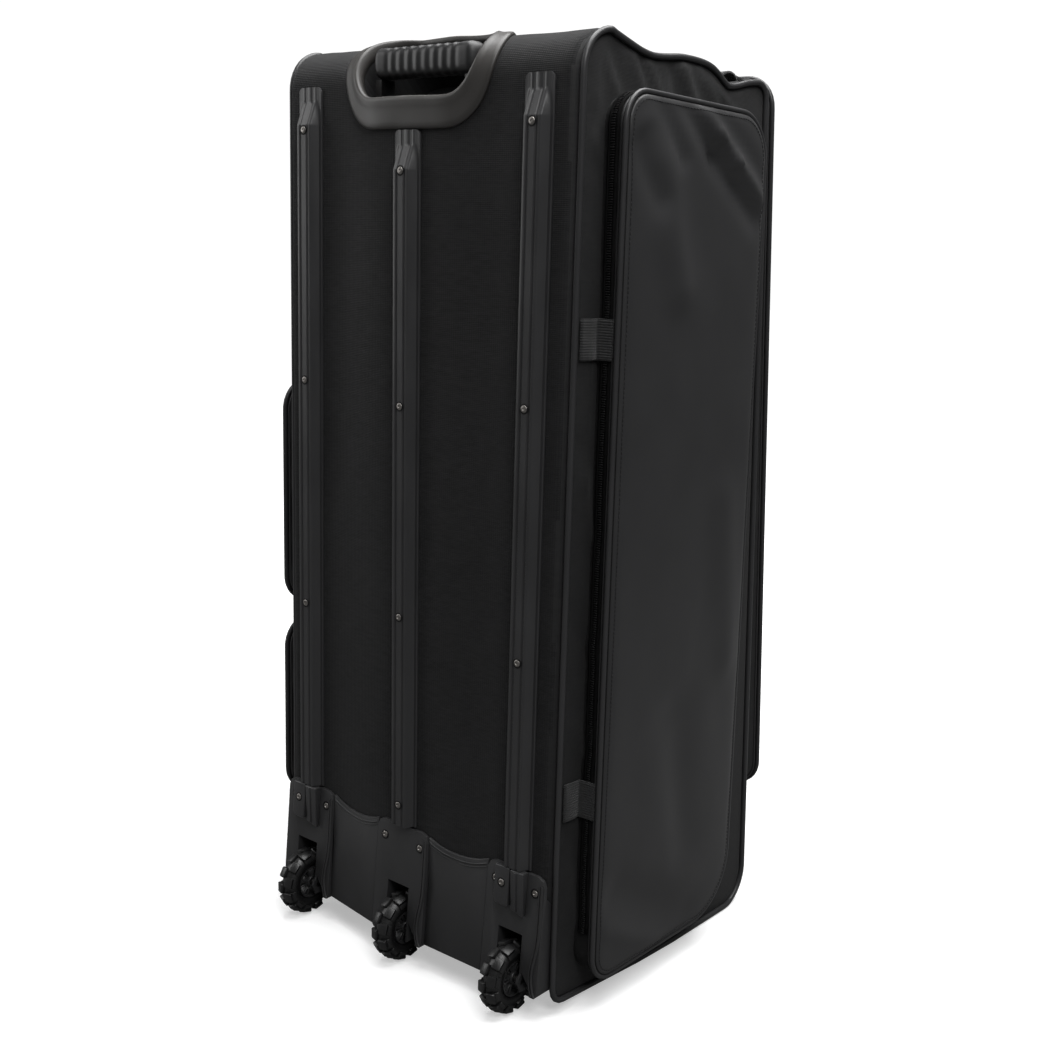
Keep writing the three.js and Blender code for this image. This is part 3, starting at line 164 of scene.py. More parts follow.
# Zips and stitches
ZIP_LINE = 0.4  # share of a gusset's height
ZIP_BACK, ZIP_FRONT = 0.05, 0.93  # where a pocket's zip starts up its near edge and ends down its far one
SLIDER_RIGHT, SLIDER_OTHERS = 0.62, 0.4  # share of the zip's run
TAPE = [(-6, 0), (-3.2, 0.9), (-2.9, 0), (2.9, 0), (3.2, 0.9), (6, 0)]  # across the tape, lift
TOOTH = (1.1, 4.4, 1.3)
STITCH = (3.0, 0.7, 0.5)
STITCH_PITCH = 4.2
STITCH_INSET = 4
# Zip slider: lift, shift along, size (along, across, out) and corner radius of each part
SLIDER = [(1.6, 0, (11, 8, 3.2), 1.0), (3.7, 0, (7, 2.4, 2.0), 0.7), (3.6, 15, (24, 6, 1.6), 0.7)]

# Rails: place across, top, and rivets as shares of the way down
OUTER_RAIL_TOP = HEIGHT - 36
MIDDLE_RAIL_TOP = HEIGHT - 80.6
OUTER_RIVETS = (0.056, 0.395, 0.719)
RAILS = {
    "left": (-RAIL_SPACING, OUTER_RAIL_TOP, OUTER_RIVETS),
    "middle": (0, MIDDLE_RAIL_TOP, (0.054, 0.373, 0.678, 0.967)),
    "right": (RAIL_SPACING, OUTER_RAIL_TOP, OUTER_RIVETS),
}
SIDES = tuple(RAILS)
RAIL_BOTTOM = 149
RAIL_HALF = 16.6
RAIL_FLANGE = 2
RAIL_RIB_HALF = 10
RAIL_RIB_FOOT = 12.5
RAIL_RIB_HEIGHT = 11
RAIL_RAMP = (36, 12.5)  # where the rib's ramp starts and ends below the top
RAIL_TONGUE = 6
FLUTE_SPACING = 5
# One flute of a rib: across, share of the rib's height
FLUTE = [(1.9, 1), (1.4, 0.94), (1.0, 0.86), (-1.0, 0.86), (-1.4, 0.94), (-1.9, 1)]

# Rivets: radius and height of the head and of a dark ring round it that paints the shade round the head, from
# the axis outwards
RIVET_HEAD = [(0, -0.6), (3.4, -0.6), (3.4, 0.3), (3.1, 0.7), (2.4, 1.0), (1.4, 1.0), (1.1, 0.5), (0, 0.4)]
RIVET_SHADE_RING = [(0, -0.5), (4.9, -0.5), (4.9, 0.15), (4.6, 0.35), (3.9, 0.35), (3.8, 0.1), (0, 0.1)]
PLATE_RIVET = (25, 130)  # from the housing's middle, height
RIVET_LEAN = 0.08

# Housings: height and Y of the sloped face at its foot and its top, and how far the middle one stands proud
HOUSING_SLOPE = ((26, -13), (147, -3.6))
MIDDLE_PROUD = 6

# Rail clips: outline (from the rail's middle, height), how far it stands out at foot and top, bevel
CLIP_TOP = RAIL_BOTTOM - 0.5
CLIP_RISE = (103, 148)
CLIP_PARTS = {
    "cap": ([(-20.5, 114), (-18.5, 110.5), (-15, 109.5), (-2.2, 109.5), (-2.2, CLIP_TOP), (-20.5, CLIP_TOP)],
            (7.5, 7.5), 1.1),
    "sleeve": ([(-0.6, 107), (15.5, 103.5), (15.5, CLIP_TOP), (-0.6, CLIP_TOP)], (4, 9), 1.2),
    "rib": ([(4.6, 107.5), (7.4, 107), (7.4, CLIP_TOP - 1), (4.6, CLIP_TOP - 1)], (5.2, 10), 0.5),
}
CLIP_SCREW = (-11.3, 132, 7.4)  # from the rail's middle, height, how far it stands out

# Raised lip down the right edge of a housing (X from its middle, height), and shift and radius of its beads
LIP_LINE = [(33.6, 139), (34.2, 112), (34.2, 88), (32.6, 72), (29.4, 55), (29.0, 43), (31.6, 32),
            (34.0, 27.5)]
LIP_BEADS = ((0, 1.5), (-3.4, 0.9))

# Lines under a kick panel's top edge: reach across, height and sag of the edge, drop and radius of each line
KICK_REACH = (37.5, 110.5)
KICK_TOP = 145
KICK_SAG = 32
KICK_BEADS = ((5, 0.8), (8.2, 0.5))

# Wheels
TYRE_WIDTH = 22
TYRE_STEPS = 72
TREAD_DEPTH = 3.0
TREAD_BLOCK = (0.6, 0.86, 4.6)  # share of the pitch, share of half the width, height
TREAD_LUG = (0.56, 6.4, 2.6)
TREAD_TILT = math.radians(17)
RIM_RADIUS = 18
# Sections of a rim's ring and core: across, radius
RIM_RING = [(-8.5, 17.9), (-8.5, 16.6), (-6.5, 15.4), (6.5, 15.4), (8.5, 16.6), (8.5, 17.9)]
RIM_CORE = [(-7.5, 3.5), (-8.2, 4.2), (-8.2, 6.0), (-7.2, 6.6), (7.2, 6.6), (8.2, 6.0), (8.2, 4.2),
            (7.5, 3.5)]
SPOKE = (12.5, 1.7, 10.6)
SPOKE_PAIRS = 6
SPOKE_SPREAD = 0.16
WHEEL_SETBACK = -9
WHEEL_OFFSET = -1.5

# Handle
COLLAR = (96, 583, 697, 55)  # half width, low, high, corner radius on the slope
WELL = (76, 603, 683, 33)
WELL_FLOOR = 566
WELL_LIP = 3
COLLAR_COUNTS = (24, 40, 24, 40)
# Section of the collar: share of the way from the well to its edge, height over the cloth
COLLAR_SECTION = [(-0.03, -8), (-0.03, -2), (0.0, 3.2), (0.07, 5.0), (0.18, 5.4), (0.34, 4.4), (0.5, 4.0),
                  (0.8, 3.9), (0.94, 3.6), (1.0, 2.6), (1.01, 0.1)]
GRIP = (66, 24, 884, 913)  # half length, depth, bottom, top
GRIP_END = 9
GRIP_RIDGE = (0.9, 11)  # depth, spacing
GRIP_SQUARE = 0.62

# Webbing
BANDS = {"upper": 654, "lower": 219}
BAND_WIDTH = 37
TAB_ARCH = 9


# Numbers and small shapes

def lerp(a, b, t):
    return a + (b - a) * t


def clamp(value, low=0.0, high=1.0):
    return max(low, min(high, value))


def smooth(value, low, high):
    t = clamp((value - low) / (high - low))
    return t * t * (3 - 2 * t)


def arc(centre, radius, start, end, steps):
    turns = (math.radians(lerp(start, end, i / steps)) for i in range(steps + 1))
    return [(centre[0] + radius * math.cos(a), centre[1] + radius * math.sin(a)) for a in turns]


def curve_through(points, steps):
    """Catmull-Rom points through a list of places."""
    ends = [points[0]] + list(points) + [points[-1]]
    out = []
    for i in range(1, len(ends) - 2):
        p0, p1, p2, p3 = (Vector(ends[i + k]) for k in (-1, 0, 1, 2))
        for k in range(steps):
            t = k / steps
            out.append(0.5 * ((2 * p1) + (p2 - p0) * t + (2 * p0 - 5 * p1 + 4 * p2 - p3) * t * t
                              + (3 * p1 - p0 - 3 * p2 + p3) * t ** 3))
    return [tuple(p) for p in out] + [tuple(points[-1])]


def resample(points, count):
    """count + 1 points, evenly spaced along a polyline."""
    points = [Vector(p) for p in points]
    lengths = [0.0]
    for a, b in zip(points, points[1:]):
        lengths.append(lengths[-1] + (b - a).length)
    out, k = [], 0
    for i in range(count + 1):
        target = lengths[-1] * i / count
        while k < len(points) - 2 and lengths[k + 1] < target:
            k += 1
        span = lengths[k + 1] - lengths[k]
        t = (target - lengths[k]) / span if span else 0
        out.append(points[k].lerp(points[k + 1], clamp(t)))
    return out


def outline_normals(loop, reach=1):
    out = []
    for i in range(len(loop)):
        d = (loop[(i + reach) % len(loop)] - loop[i - reach]).normalized()
        out.append(Vector((-d.y, d.x)))
    return out


def grown(loop, amount):
    return [p + n * amount for p, n in zip(loop, outline_normals(loop))]


def fold_lift(folds, u, v):
    total = 0.0
    for (au, av), (bu, bv), width, lift in folds:
        du, dv = bu - au, bv - av
        t = clamp(((u - au) * du + (v - av) * dv) / (du * du + dv * dv))
        gap = math.hypot(u - au - t * du, v - av - t * dv)
        total += lift * math.exp(-(gap / width) ** 2)
    return total


def ripple(u, v, size, seed):
    return noise.noise(Vector((u / size, v / size, seed)))


# Mesh pieces

class Skin:
    """Vertices (millimetres from the measured origin), faces and UVs (metres) of one piece."""

    def __init__(self):
        self.points, self.faces, self.uvs = [], [], []

    def grid(self, rows, uv=None, across=False, along=False):
        """Faces between rows of points; across closes each row, along closes the rows on the first."""
        base = len(self.points)
        width, height = len(rows[0]), len(rows)
        for row in rows:
            self.points.extend(row)
        if uv is None:
            run = [[0.0] * (width + 1) for _ in range(height + 1)]
            for i in range(height + 1):
                for j in range(1, width + 1):
                    a, b = rows[i % height][(j - 1) % width], rows[i % height][j % width]
                    run[i][j] = run[i][j - 1] + (Vector(b) - Vector(a)).length
            rise = [0.0]
            middle = width // 2
            for i in range(1, height + 1):
                climb = Vector(rows[i % height][middle]) - Vector(rows[i - 1][middle])
                rise.append(rise[-1] + climb.length)
            uv = [[(run[i][j] * MM, rise[i] * MM) for j in range(width + 1)] for i in range(height + 1)]
        for i in range(height if along else height - 1):
            for j in range(width if across else width - 1):
                corners = ((i, j), (i, j + 1), (i + 1, j + 1), (i + 1, j))
                self.faces.append([base + (a % height) * width + b % width for a, b in corners])
                self.uvs.append([uv[a][b] if a < len(uv) and b < len(uv[a]) else uv[a % height][b % width]
                                 for a, b in corners])

    def fan(self, ring):
        """Closes a ring with triangles round its middle."""
        base = len(self.points)
        middle = sum((Vector(p) for p in ring), Vector()) / len(ring)
        self.points.extend(ring)
        self.points.append(middle)
        for i in range(len(ring)):
            self.faces.append([base + i, base + (i + 1) % len(ring), base + len(ring)])
            self.uvs.append([(p[0] * MM, p[2] * MM) for p in (ring[i], ring[(i + 1) % len(ring)], middle)])

    def mesh(self, name, drop=None):
        data = bpy.data.meshes.new(name)
        data.from_pydata([((p[0] + SHIFT_X) * MM, (p[1] + SHIFT_Y) * MM, p[2] * MM) for p in self.points],
                         [], self.faces)
        layer = data.uv_layers.new(name="UVMap")
        flat = [c for face in self.uvs for c in face]
        layer.data.foreach_set("uv", [v for c in flat for v in c])
        bm = bmesh.new()
        bm.from_mesh(data)
        bmesh.ops.remove_doubles(bm, verts=bm.verts, dist=2e-5)
        bmesh.ops.dissolve_degenerate(bm, edges=bm.edges, dist=1e-6)
        bmesh.ops.recalc_face_normals(bm, faces=bm.faces)
        if drop:
            gone = [f for f in bm.faces if drop(f.calc_center_median())]
            bmesh.ops.delete(bm, geom=gone, context="FACES")
        bm.to_mesh(data)
        bm.free()
        return data


def piece(name, data, material, body="bag", replaces=(), angle=None):
    """Adds a finished mesh to the scene, hangs it on the empty of what it rides on and hides the engineered
    nodes it replaces.
    """
    obj = bpy.data.objects.new(name, data)
    bpy.context.scene.collection.objects.link(obj)
    if material:
        data.materials.clear()
        data.materials.append(material)
    data.shade_smooth()
    if angle:
        data.set_sharp_from_angle(angle=math.radians(angle))
    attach(obj, body)
    if replaces:
        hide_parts(*replaces)
    return obj


def evaluated(obj):
    """Plain mesh of an object with its modifiers applied; the object goes away."""
    graph = bpy.context.evaluated_depsgraph_get()
    data = bpy.data.meshes.new_from_object(obj.evaluated_get(graph), depsgraph=graph)
    data.name = obj.name
    bpy.data.objects.remove(obj)
    return data


def loose(name, data):
    obj = bpy.data.objects.new(name, data)
    bpy.context.scene.collection.objects.link(obj)
    return obj


def thickened(data, thickness, levels=0):
    obj = loose(data.name, data)
    solid = obj.modifiers.new("thickness", "SOLIDIFY")
    solid.thickness = thickness * MM
    solid.offset = -1
    if levels:
        sub = obj.modifiers.new("smooth", "SUBSURF")
        sub.levels = sub.render_levels = levels
    return evaluated(obj)


def frames_along(path, sideways, closed):
    out = []
    count = len(path)
    for i, p in enumerate(path):
        a = path[i - 1] if closed or i else path[i]
        b = path[(i + 1) % count] if closed or i < count - 1 else path[i]
        along = (b - a).normalized()
        out_dir = sideways[i]
        out_dir = (out_dir - along * out_dir.dot(along)).normalized()
        out.append((p, out_dir, along.cross(out_dir)))
    return out


def bead(skin, path, sideways, radius, sides=12, closed=True):
    rows = []
    for p, out, up in frames_along(path, sideways, closed):
        rows.append([p + (out * math.cos(a) + up * math.sin(a)) * radius
                     for a in (2 * math.pi * k / sides for k in range(sides))])
    skin.grid(rows, across=True, along=closed)
    if not closed:
        skin.fan(rows[0])
        skin.fan(rows[-1])


def rounded_bar(width, height, radius, steps=3):
    """Closed section of a bar with rounded corners, as (out, up) pairs."""
    out = []
    for cx, cy, start in ((1, 1, 0), (-1, 1, 90), (-1, -1, 180), (1, -1, 270)):
        centre = (cx * (width / 2 - radius), cy * (height / 2 - radius))
        out += arc(centre, radius, start, start + 90, steps)
    return out


# Repeats with geometry nodes

def socket_id(tree, name):
    return next(i.identifier for i in tree.interface.items_tree if i.item_type == "SOCKET"
                and i.in_out == "INPUT" and i.name == name)


def repeat_tree(on_path):
    name = "repeat along a path" if on_path else "repeat at points"
    tree = bpy.data.node_groups.new(name, "GeometryNodeTree")
    face = tree.interface
    face.new_socket("Geometry", in_out="INPUT", socket_type="NodeSocketGeometry")
    face.new_socket("Item", in_out="INPUT", socket_type="NodeSocketObject")
    face.new_socket("Pitch", in_out="INPUT", socket_type="NodeSocketFloat")
    face.new_socket("Seed", in_out="INPUT", socket_type="NodeSocketInt")
    face.new_socket("Size change", in_out="INPUT", socket_type="NodeSocketFloat")
    face.new_socket("Material", in_out="INPUT", socket_type="NodeSocketMaterial")
    face.new_socket("Geometry", in_out="OUTPUT", socket_type="NodeSocketGeometry")
    nodes, links = tree.nodes, tree.links
    source = nodes.new("NodeGroupInput")
    target = nodes.new("NodeGroupOutput")
    out_dir = nodes.new("GeometryNodeInputNamedAttribute")
    out_dir.data_type = "FLOAT_VECTOR"
    out_dir.inputs["Name"].default_value = "out"
    along_dir = nodes.new("GeometryNodeInputNamedAttribute")
    along_dir.data_type = "FLOAT_VECTOR"
    along_dir.inputs["Name"].default_value = "along"
    face_out = nodes.new("FunctionNodeAlignRotationToVector")
    face_out.axis = "Z"
    face_along = nodes.new("FunctionNodeAlignRotationToVector")
    face_along.axis = "X"
    face_along.pivot_axis = "Z"
    if on_path:
        curve = nodes.new("GeometryNodeMeshToCurve")
        points = nodes.new("GeometryNodeResampleCurve")
        points.mode = "LENGTH"
        links.new(source.outputs["Geometry"], curve.inputs["Mesh"])
        links.new(curve.outputs["Curve"], points.inputs["Curve"])
        links.new(source.outputs["Pitch"], points.inputs["Length"])
        spots = points.outputs["Curve"]
    else:
        points = nodes.new("GeometryNodeMeshToPoints")
        links.new(source.outputs["Geometry"], points.inputs["Mesh"])
        spots = points.outputs["Points"]
    item = nodes.new("GeometryNodeObjectInfo")
    links.new(source.outputs["Item"], item.inputs["Object"])
    change = nodes.new("FunctionNodeRandomValue")
    change.data_type = "FLOAT"
    least = nodes.new("ShaderNodeMath")
    least.operation = "SUBTRACT"
    least.inputs[0].default_value = 1
    links.new(source.outputs["Size change"], least.inputs[1])
    links.new(least.outputs[0], change.inputs[2])
    change.inputs[3].default_value = 1
    links.new(source.outputs["Seed"], change.inputs["Seed"])
    place = nodes.new("GeometryNodeInstanceOnPoints")
    links.new(out_dir.outputs["Attribute"], face_out.inputs["Vector"])
    links.new(face_out.outputs["Rotation"], face_along.inputs["Rotation"])
    links.new(along_dir.outputs["Attribute"], face_along.inputs["Vector"])
    links.new(spots, place.inputs["Points"])
    links.new(item.outputs["Geometry"], place.inputs["Instance"])
    links.new(face_along.outputs["Rotation"], place.inputs["Rotation"])
    links.new(change.outputs[1], place.inputs["Scale"])
    real = nodes.new("GeometryNodeRealizeInstances")
    paint = nodes.new("GeometryNodeSetMaterial")
    links.new(place.outputs["Instances"], real.inputs["Geometry"])
    links.new(real.outputs["Geometry"], paint.inputs["Geometry"])
    links.new(source.outputs["Material"], paint.inputs["Material"])
    links.new(paint.outputs["Geometry"], target.inputs["Geometry"])
    return tree


TREES = {}


def repeated(name, item, places, material, pitch=None, closed=False, change=0.0, seed=1):
    """Mesh with copies of item at places [(point, out, along)], or every pitch along them."""
    key = pitch is not None
    if key not in TREES:
        TREES[key] = repeat_tree(key)
    tree = TREES[key]
    data = bpy.data.meshes.new(name)
    count = len(places)
    edges = [(i, (i + 1) % count) for i in range(count if closed else count - 1)] if key else []
    points = [((p[0] + SHIFT_X) * MM, (p[1] + SHIFT_Y) * MM, p[2] * MM) for p, _, _ in places]
    data.from_pydata(points, edges, [])
    for label, k in (("out", 1), ("along", 2)):
        attribute = data.attributes.new(label, "FLOAT_VECTOR", "POINT")
        attribute.data.foreach_set("vector", [c for place in places for c in place[k]])
    obj = loose(name, data)
    source = loose(name + "_item", item)
    modifier = obj.modifiers.new("repeat", "NODES")
    modifier.node_group = tree
    for label, value in (("Item", source), ("Pitch", (pitch or 1) * MM), ("Seed", seed),
                         ("Size change", float(change)), ("Material", material)):
        modifier[socket_id(tree, label)] = value
    result = evaluated(obj)
    bpy.data.objects.remove(source)
    if "UVMap" not in result.uv_layers:
        result.uv_layers.new(name="UVMap")
    return result


def item_box(size, bevel, segments=1):
    """Small box with bevelled edges that stands on its own origin, sizes in millimetres."""
    bm = bmesh.new()
    bmesh.ops.create_cube(bm, size=1)
    for v in bm.verts:
        v.co = Vector((v.co.x * size[0], v.co.y * size[1], (v.co.z + 0.5) * size[2])) * MM
    if bevel:
        bmesh.ops.bevel(bm, geom=bm.edges[:], offset=bevel * MM, segments=segments, affect="EDGES",
                        profile=0.5)
    data = bpy.data.meshes.new("item")
    bm.to_mesh(data)
    bm.free()
    return data


def turned(profile, sides, name="item"):
    """Mesh turned round Z from (radius, height) pairs that start and end on the axis."""
    bm = bmesh.new()
    rings = []
    turns = [2 * math.pi * k / sides for k in range(sides)]
    for r, h in profile:
        if r < 1e-6:
            rings.append([bm.verts.new((0, 0, h * MM))])
        else:
            rings.append([bm.verts.new((r * MM * math.cos(a), r * MM * math.sin(a), h * MM)) for a in turns])
    for a, b in zip(rings, rings[1:]):
        for k in range(sides):
            quad = [a[k % len(a)], a[(k + 1) % len(a)], b[(k + 1) % len(b)], b[k % len(b)]]
            quad = list(dict.fromkeys(quad))
            if len(quad) > 2:
                bm.faces.new(quad)
    bmesh.ops.recalc_face_normals(bm, faces=bm.faces)
    data = bpy.data.meshes.new(name)
    bm.to_mesh(data)
    bm.free()
    return data


# Materials

class Paint:
    """Small helper that wires the nodes of one material."""

    def __init__(self, name, color, roughness, metallic=0.0, specular=0.5):
        self.material = bpy.data.materials.new(name)
        self.material.use_nodes = True
        self.nodes, self.links = self.material.node_tree.nodes, self.material.node_tree.links
        self.shader = self.nodes["Principled BSDF"]
        self.color, self.roughness = color, roughness
        self.shader.inputs["Base Color"].default_value = (*color, 1)
        self.shader.inputs["Roughness"].default_value = roughness
        self.shader.inputs["Metallic"].default_value = metallic
        self.shader.inputs["Specular IOR Level"].default_value = specular
        self.height = None

    def node(self, kind, **inputs):
        node = self.nodes.new(kind)
        for key, value in inputs.items():
            target = node.inputs[int(key[2:]) if key.startswith("in") else key.replace("_", " ")]
            if hasattr(value, "is_output"):
                self.links.new(value, target)
            else:
                target.default_value = value
        return node

    def math(self, operation, a, b=None, c=None):
        node = self.nodes.new("ShaderNodeMath")
        node.operation = operation
        for i, value in enumerate((a, b, c)):
            if value is None:
                continue
            if hasattr(value, "is_output"):
                self.links.new(value, node.inputs[i])
            else:
                node.inputs[i].default_value = value
        return node.outputs[0]

    def coordinates(self, kind="Object"):
        source = self.node("ShaderNodeTexCoord")
        split = self.node("ShaderNodeSeparateXYZ", in0=source.outputs[kind])
        return source.outputs[kind], split.outputs

    def noise(self, vector, size, detail=3.0, stretch=None):
        if stretch:
            mapping = self.node("ShaderNodeMapping", in0=vector)
            mapping.inputs["Scale"].default_value = stretch
            vector = mapping.outputs[0]
        node = self.node("ShaderNodeTexNoise", Vector=vector, Scale=1 / (size * MM), Detail=detail)
        return node.outputs["Fac"]

    def tint(self, factor, dark, light):
        """Colour between two multiples of the base colour."""
        ramp = self.nodes.new("ShaderNodeMix")
        ramp.data_type = "RGBA"
        self.links.new(factor, ramp.inputs["Factor"])
        ramp.inputs[6].default_value = (*(c * dark for c in self.color), 1)
        ramp.inputs[7].default_value = (*(c * light for c in self.color), 1)
        self.links.new(ramp.outputs[2], self.shader.inputs["Base Color"])

    def shine(self, factor, low, high):
        node = self.node("ShaderNodeMapRange", Value=factor, To_Min=low, To_Max=high)
        self.links.new(node.outputs[0], self.shader.inputs["Roughness"])

    def bump(self, height, distance, strength=1.0):
        node = self.node("ShaderNodeBump", Strength=strength, Distance=distance * MM, Height=height)
        if self.height is not None:
            self.links.new(self.height, node.inputs["Normal"])
        self.height = node.outputs["Normal"]
        self.links.new(self.height, self.shader.inputs["Normal"])


def woven(name, color, roughness, pitch, depth, slub=0.9, sheen=0.25, cross=1.0, specular=0.3):
    """Cloth with a plain weave in its UVs: fine level ribs with thread variation, and painted shade between
    the threads in its colour.
    """
    paint = Paint(name, color, roughness, specular=specular)
    place, _ = paint.coordinates()
    _, (u, v, _) = paint.coordinates("UV")
    turn = 2 * math.pi / (pitch * MM)
    weft = paint.math("SINE", paint.math("MULTIPLY", v, turn))
    warp = paint.math("SINE", paint.math("MULTIPLY", u, turn * cross))
    threads = paint.math("MULTIPLY_ADD", weft, 0.5, paint.math("MULTIPLY", warp, 0.35))
    slubs = paint.noise(place, 3.4, 3.0, stretch=(0.3, 0.3, 1.5))
    broad = paint.noise(place, 90.0, 3.0)
    mix = paint.math("MULTIPLY_ADD", slubs, slub, paint.math("MULTIPLY", broad, 0.5))
    # Painted shade: the colour is darker between the threads, following the weave's relief, over random
    # thread tone from the slubs and broad noise.
    tone_and_weave_shade = paint.math("MULTIPLY_ADD", threads, 0.3, mix)
    paint.tint(tone_and_weave_shade, 0.25, 1.75)
    paint.shine(broad, roughness - 0.06, roughness + 0.06)
    paint.bump(threads, depth)
    paint.bump(slubs, depth * 0.8, 0.6)
    paint.shader.inputs["Sheen Weight"].default_value = sheen
    paint.shader.inputs["Sheen Roughness"].default_value = 0.5
    return paint.material


def coated(name, color, roughness, grain, depth, sheen=0.1, specular=0.5):
    """Coated cloth: soft satin face with a fine grain and broad unevenness."""
    paint = Paint(name, color, roughness, specular=specular)
    place, _ = paint.coordinates()
    fine = paint.noise(place, grain, 2.0)
    broad = paint.noise(place, 70.0, 4.0)
    paint.tint(paint.math("MULTIPLY_ADD", fine, 0.3, paint.math("MULTIPLY", broad, 0.7)), 0.8, 1.25)
    paint.shine(broad, roughness - 0.07, roughness + 0.07)
    paint.bump(broad, 0.5, 0.25)
    paint.bump(fine, depth)
    paint.shader.inputs["Sheen Weight"].default_value = sheen
    return paint.material


def moulded(name, color, roughness, grain=0.9, depth=0.05, wear=0.25, specular=0.45):
    """Moulded plastic: spark-eroded grain, scuffs and slightly paler worn patches."""
    paint = Paint(name, color, roughness, specular=specular)
    place, _ = paint.coordinates()
    fine = paint.noise(place, grain, 2.0)
    scuff = paint.noise(place, 26.0, 6.0, stretch=(1, 1, 0.35))
    worn = paint.math("MULTIPLY_ADD", fine, 0.25, paint.math("MULTIPLY", scuff, 0.8))
    paint.tint(worn, 1 - wear, 1 + wear * 1.6)
    paint.shine(scuff, roughness - 0.12, roughness + 0.14)
    paint.bump(fine, depth)
    return paint.material


def ribbed(name, color, pitch, depth):
    """Webbing: lengthwise ribs in its UVs with a fine cross weave, and painted shade between the ribs in its
    colour.
    """
    paint = Paint(name, color, 0.75, specular=0.35)
    place, _ = paint.coordinates()
    _, (u, v, _) = paint.coordinates("UV")
    ribs = paint.math("ABSOLUTE", paint.math("SINE", paint.math("MULTIPLY", u, math.pi / (pitch * MM))))
    picks = paint.math("SINE", paint.math("MULTIPLY", v, 2 * math.pi / (1.1 * MM)))
    threads = paint.math("MULTIPLY_ADD", picks, 0.2, ribs)
    # Painted shade: the colour is darker in the valleys between the ribs, over random tone from the noise.
    tone_and_weave_shade = paint.math("MULTIPLY_ADD", ribs, 0.7, paint.math("MULTIPLY", paint.noise(place, 8.0), 0.4))
    paint.tint(tone_and_weave_shade, 0.5, 1.5)
    paint.bump(threads, depth)
    paint.shader.inputs["Sheen Weight"].default_value = 0.2
    return paint.material


def brushed(name, color, roughness, metallic=1.0):
    """Metal with fine turned lines and slight tarnish."""
    paint = Paint(name, color, roughness, metallic)
    place, _ = paint.coordinates()
    fine = paint.noise(place, 0.6, 2.0, stretch=(1, 1, 4))
    broad = paint.noise(place, 9.0, 3.0)
    paint.tint(broad, 0.7, 1.2)
    paint.shine(fine, roughness - 0.1, roughness + 0.12)
    paint.bump(fine, 0.02)
    return paint.material


MATERIALS = {}


def shade(share):
    """The bag's base colour, darker or lighter."""
    return tuple(c * share for c in bpy.context.scene.kit_bag.cloth_color)


def materials():
    if MATERIALS:
        return MATERIALS
    MATERIALS.update(
        back=woven("woven_black", shade(0.75), 0.9, 1.7, 0.16, sheen=0.05, cross=0.7, specular=0.2),
        side=woven("woven_side", shade(0.58), 0.7, 1.1, 0.08, sheen=0.06, specular=0.3),
        pocket=coated("pocket_face", shade(1.85), 0.42, 0.5, 0.02, sheen=0.02, specular=0.4),
        gusset=woven("gusset_cloth", shade(0.45), 0.8, 1.0, 0.06, sheen=0.04, specular=0.2),
        piping=coated("piping", shade(2.1), 0.36, 0.7, 0.03, sheen=0.0, specular=0.4),
        tape=woven("zip_tape", shade(0.22), 0.9, 0.8, 0.06, sheen=0.0, specular=0.1),
        teeth=moulded("zip_teeth", shade(0.4), 0.6, specular=0.25),
        thread=coated("stitch_thread", shade(1.3), 0.6, 0.3, 0.02, sheen=0.0, specular=0.2),
        webbing=ribbed("webbing", shade(0.8), 2.4, 0.5),
        rail=moulded("rail_plastic", shade(1.95), 0.36),
        plate=moulded("plate_plastic", shade(1.8), 0.48, grain=0.7, depth=0.07),
        collar=moulded("collar_plastic", (0.036, 0.034, 0.032), 0.42),
        cup=moulded("cup_plastic", shade(0.8), 0.5),
        grip=moulded("grip_plastic", shade(0.9), 0.4),
        rubber=moulded("tyre_rubber", shade(0.42), 0.4, grain=1.4, depth=0.1, wear=0.35, specular=0.6),
        rim=moulded("rim_plastic", shade(1.6), 0.36),
        rivet=brushed("rivet_metal", (0.27, 0.255, 0.24), 0.4),
        steel=brushed("axle_steel", (0.32, 0.31, 0.30), 0.3),
        post=brushed("post_metal", (0.10, 0.10, 0.10), 0.36),
    )
    return MATERIALS


# Shape of the cloth body

def seam_sides():
    back_top = (SEAM_SETBACK + BACK_TOP_RADIUS, HEIGHT - BACK_TOP_RADIUS)
    top = [(d * DEPTH_TOP, HEIGHT * (1 - drop)) for d, drop in TOP_LINE]
    front_top = (DEPTH_TOP - FRONT_TOP_RADIUS, top[-1][1] - FRONT_TOP_RADIUS)
    front_bottom = (DEPTH_BOTTOM - FRONT_BOTTOM_RADIUS, FRONT_BOTTOM_RADIUS)
    back_bottom = (SEAM_SETBACK + BACK_BOTTOM_RADIUS, BASE_LIFT + BACK_BOTTOM_RADIUS)
    back = (arc(back_bottom, BACK_BOTTOM_RADIUS, 225, 180, 6)
            + [(SEAM_SETBACK, RECESS_TOP), (SEAM_SETBACK, RECESS_END), (SEAM_SETBACK, back_top[1])]
            + arc(back_top, BACK_TOP_RADIUS, 180, 135, 8))
    upper = (arc(back_top, BACK_TOP_RADIUS, 135, 90, 8) + curve_through(top, 8)
             + arc(front_top, FRONT_TOP_RADIUS, 90, 45, 5))
    front = (arc(front_top, FRONT_TOP_RADIUS, 45, 0, 5) + arc(front_bottom, FRONT_BOTTOM_RADIUS, 0, -45, 8))
    rest = (front_bottom[0] - REST_LENGTH, 0)
    lower = (arc(front_bottom, FRONT_BOTTOM_RADIUS, -45, -90, 8) + [rest, (back_bottom[0], BASE_LIFT)]
             + arc(back_bottom, BACK_BOTTOM_RADIUS, 270, 225, 6))
    return [back, upper, front, lower]


def even_sides(sides, step):
    """The four sides resampled so that opposite sides have equal counts."""
    def length(points):
        return sum((Vector(b) - Vector(a)).length for a, b in zip(points, points[1:]))
    counts = [max(4, round((length(sides[k]) + length(sides[k + 2])) / 2 / step)) for k in (0, 1)] * 2
    return [resample(side, n) for side, n in zip(sides, counts)]


def loop_of(sides):
    return [p for side in sides for p in side[:-1]]


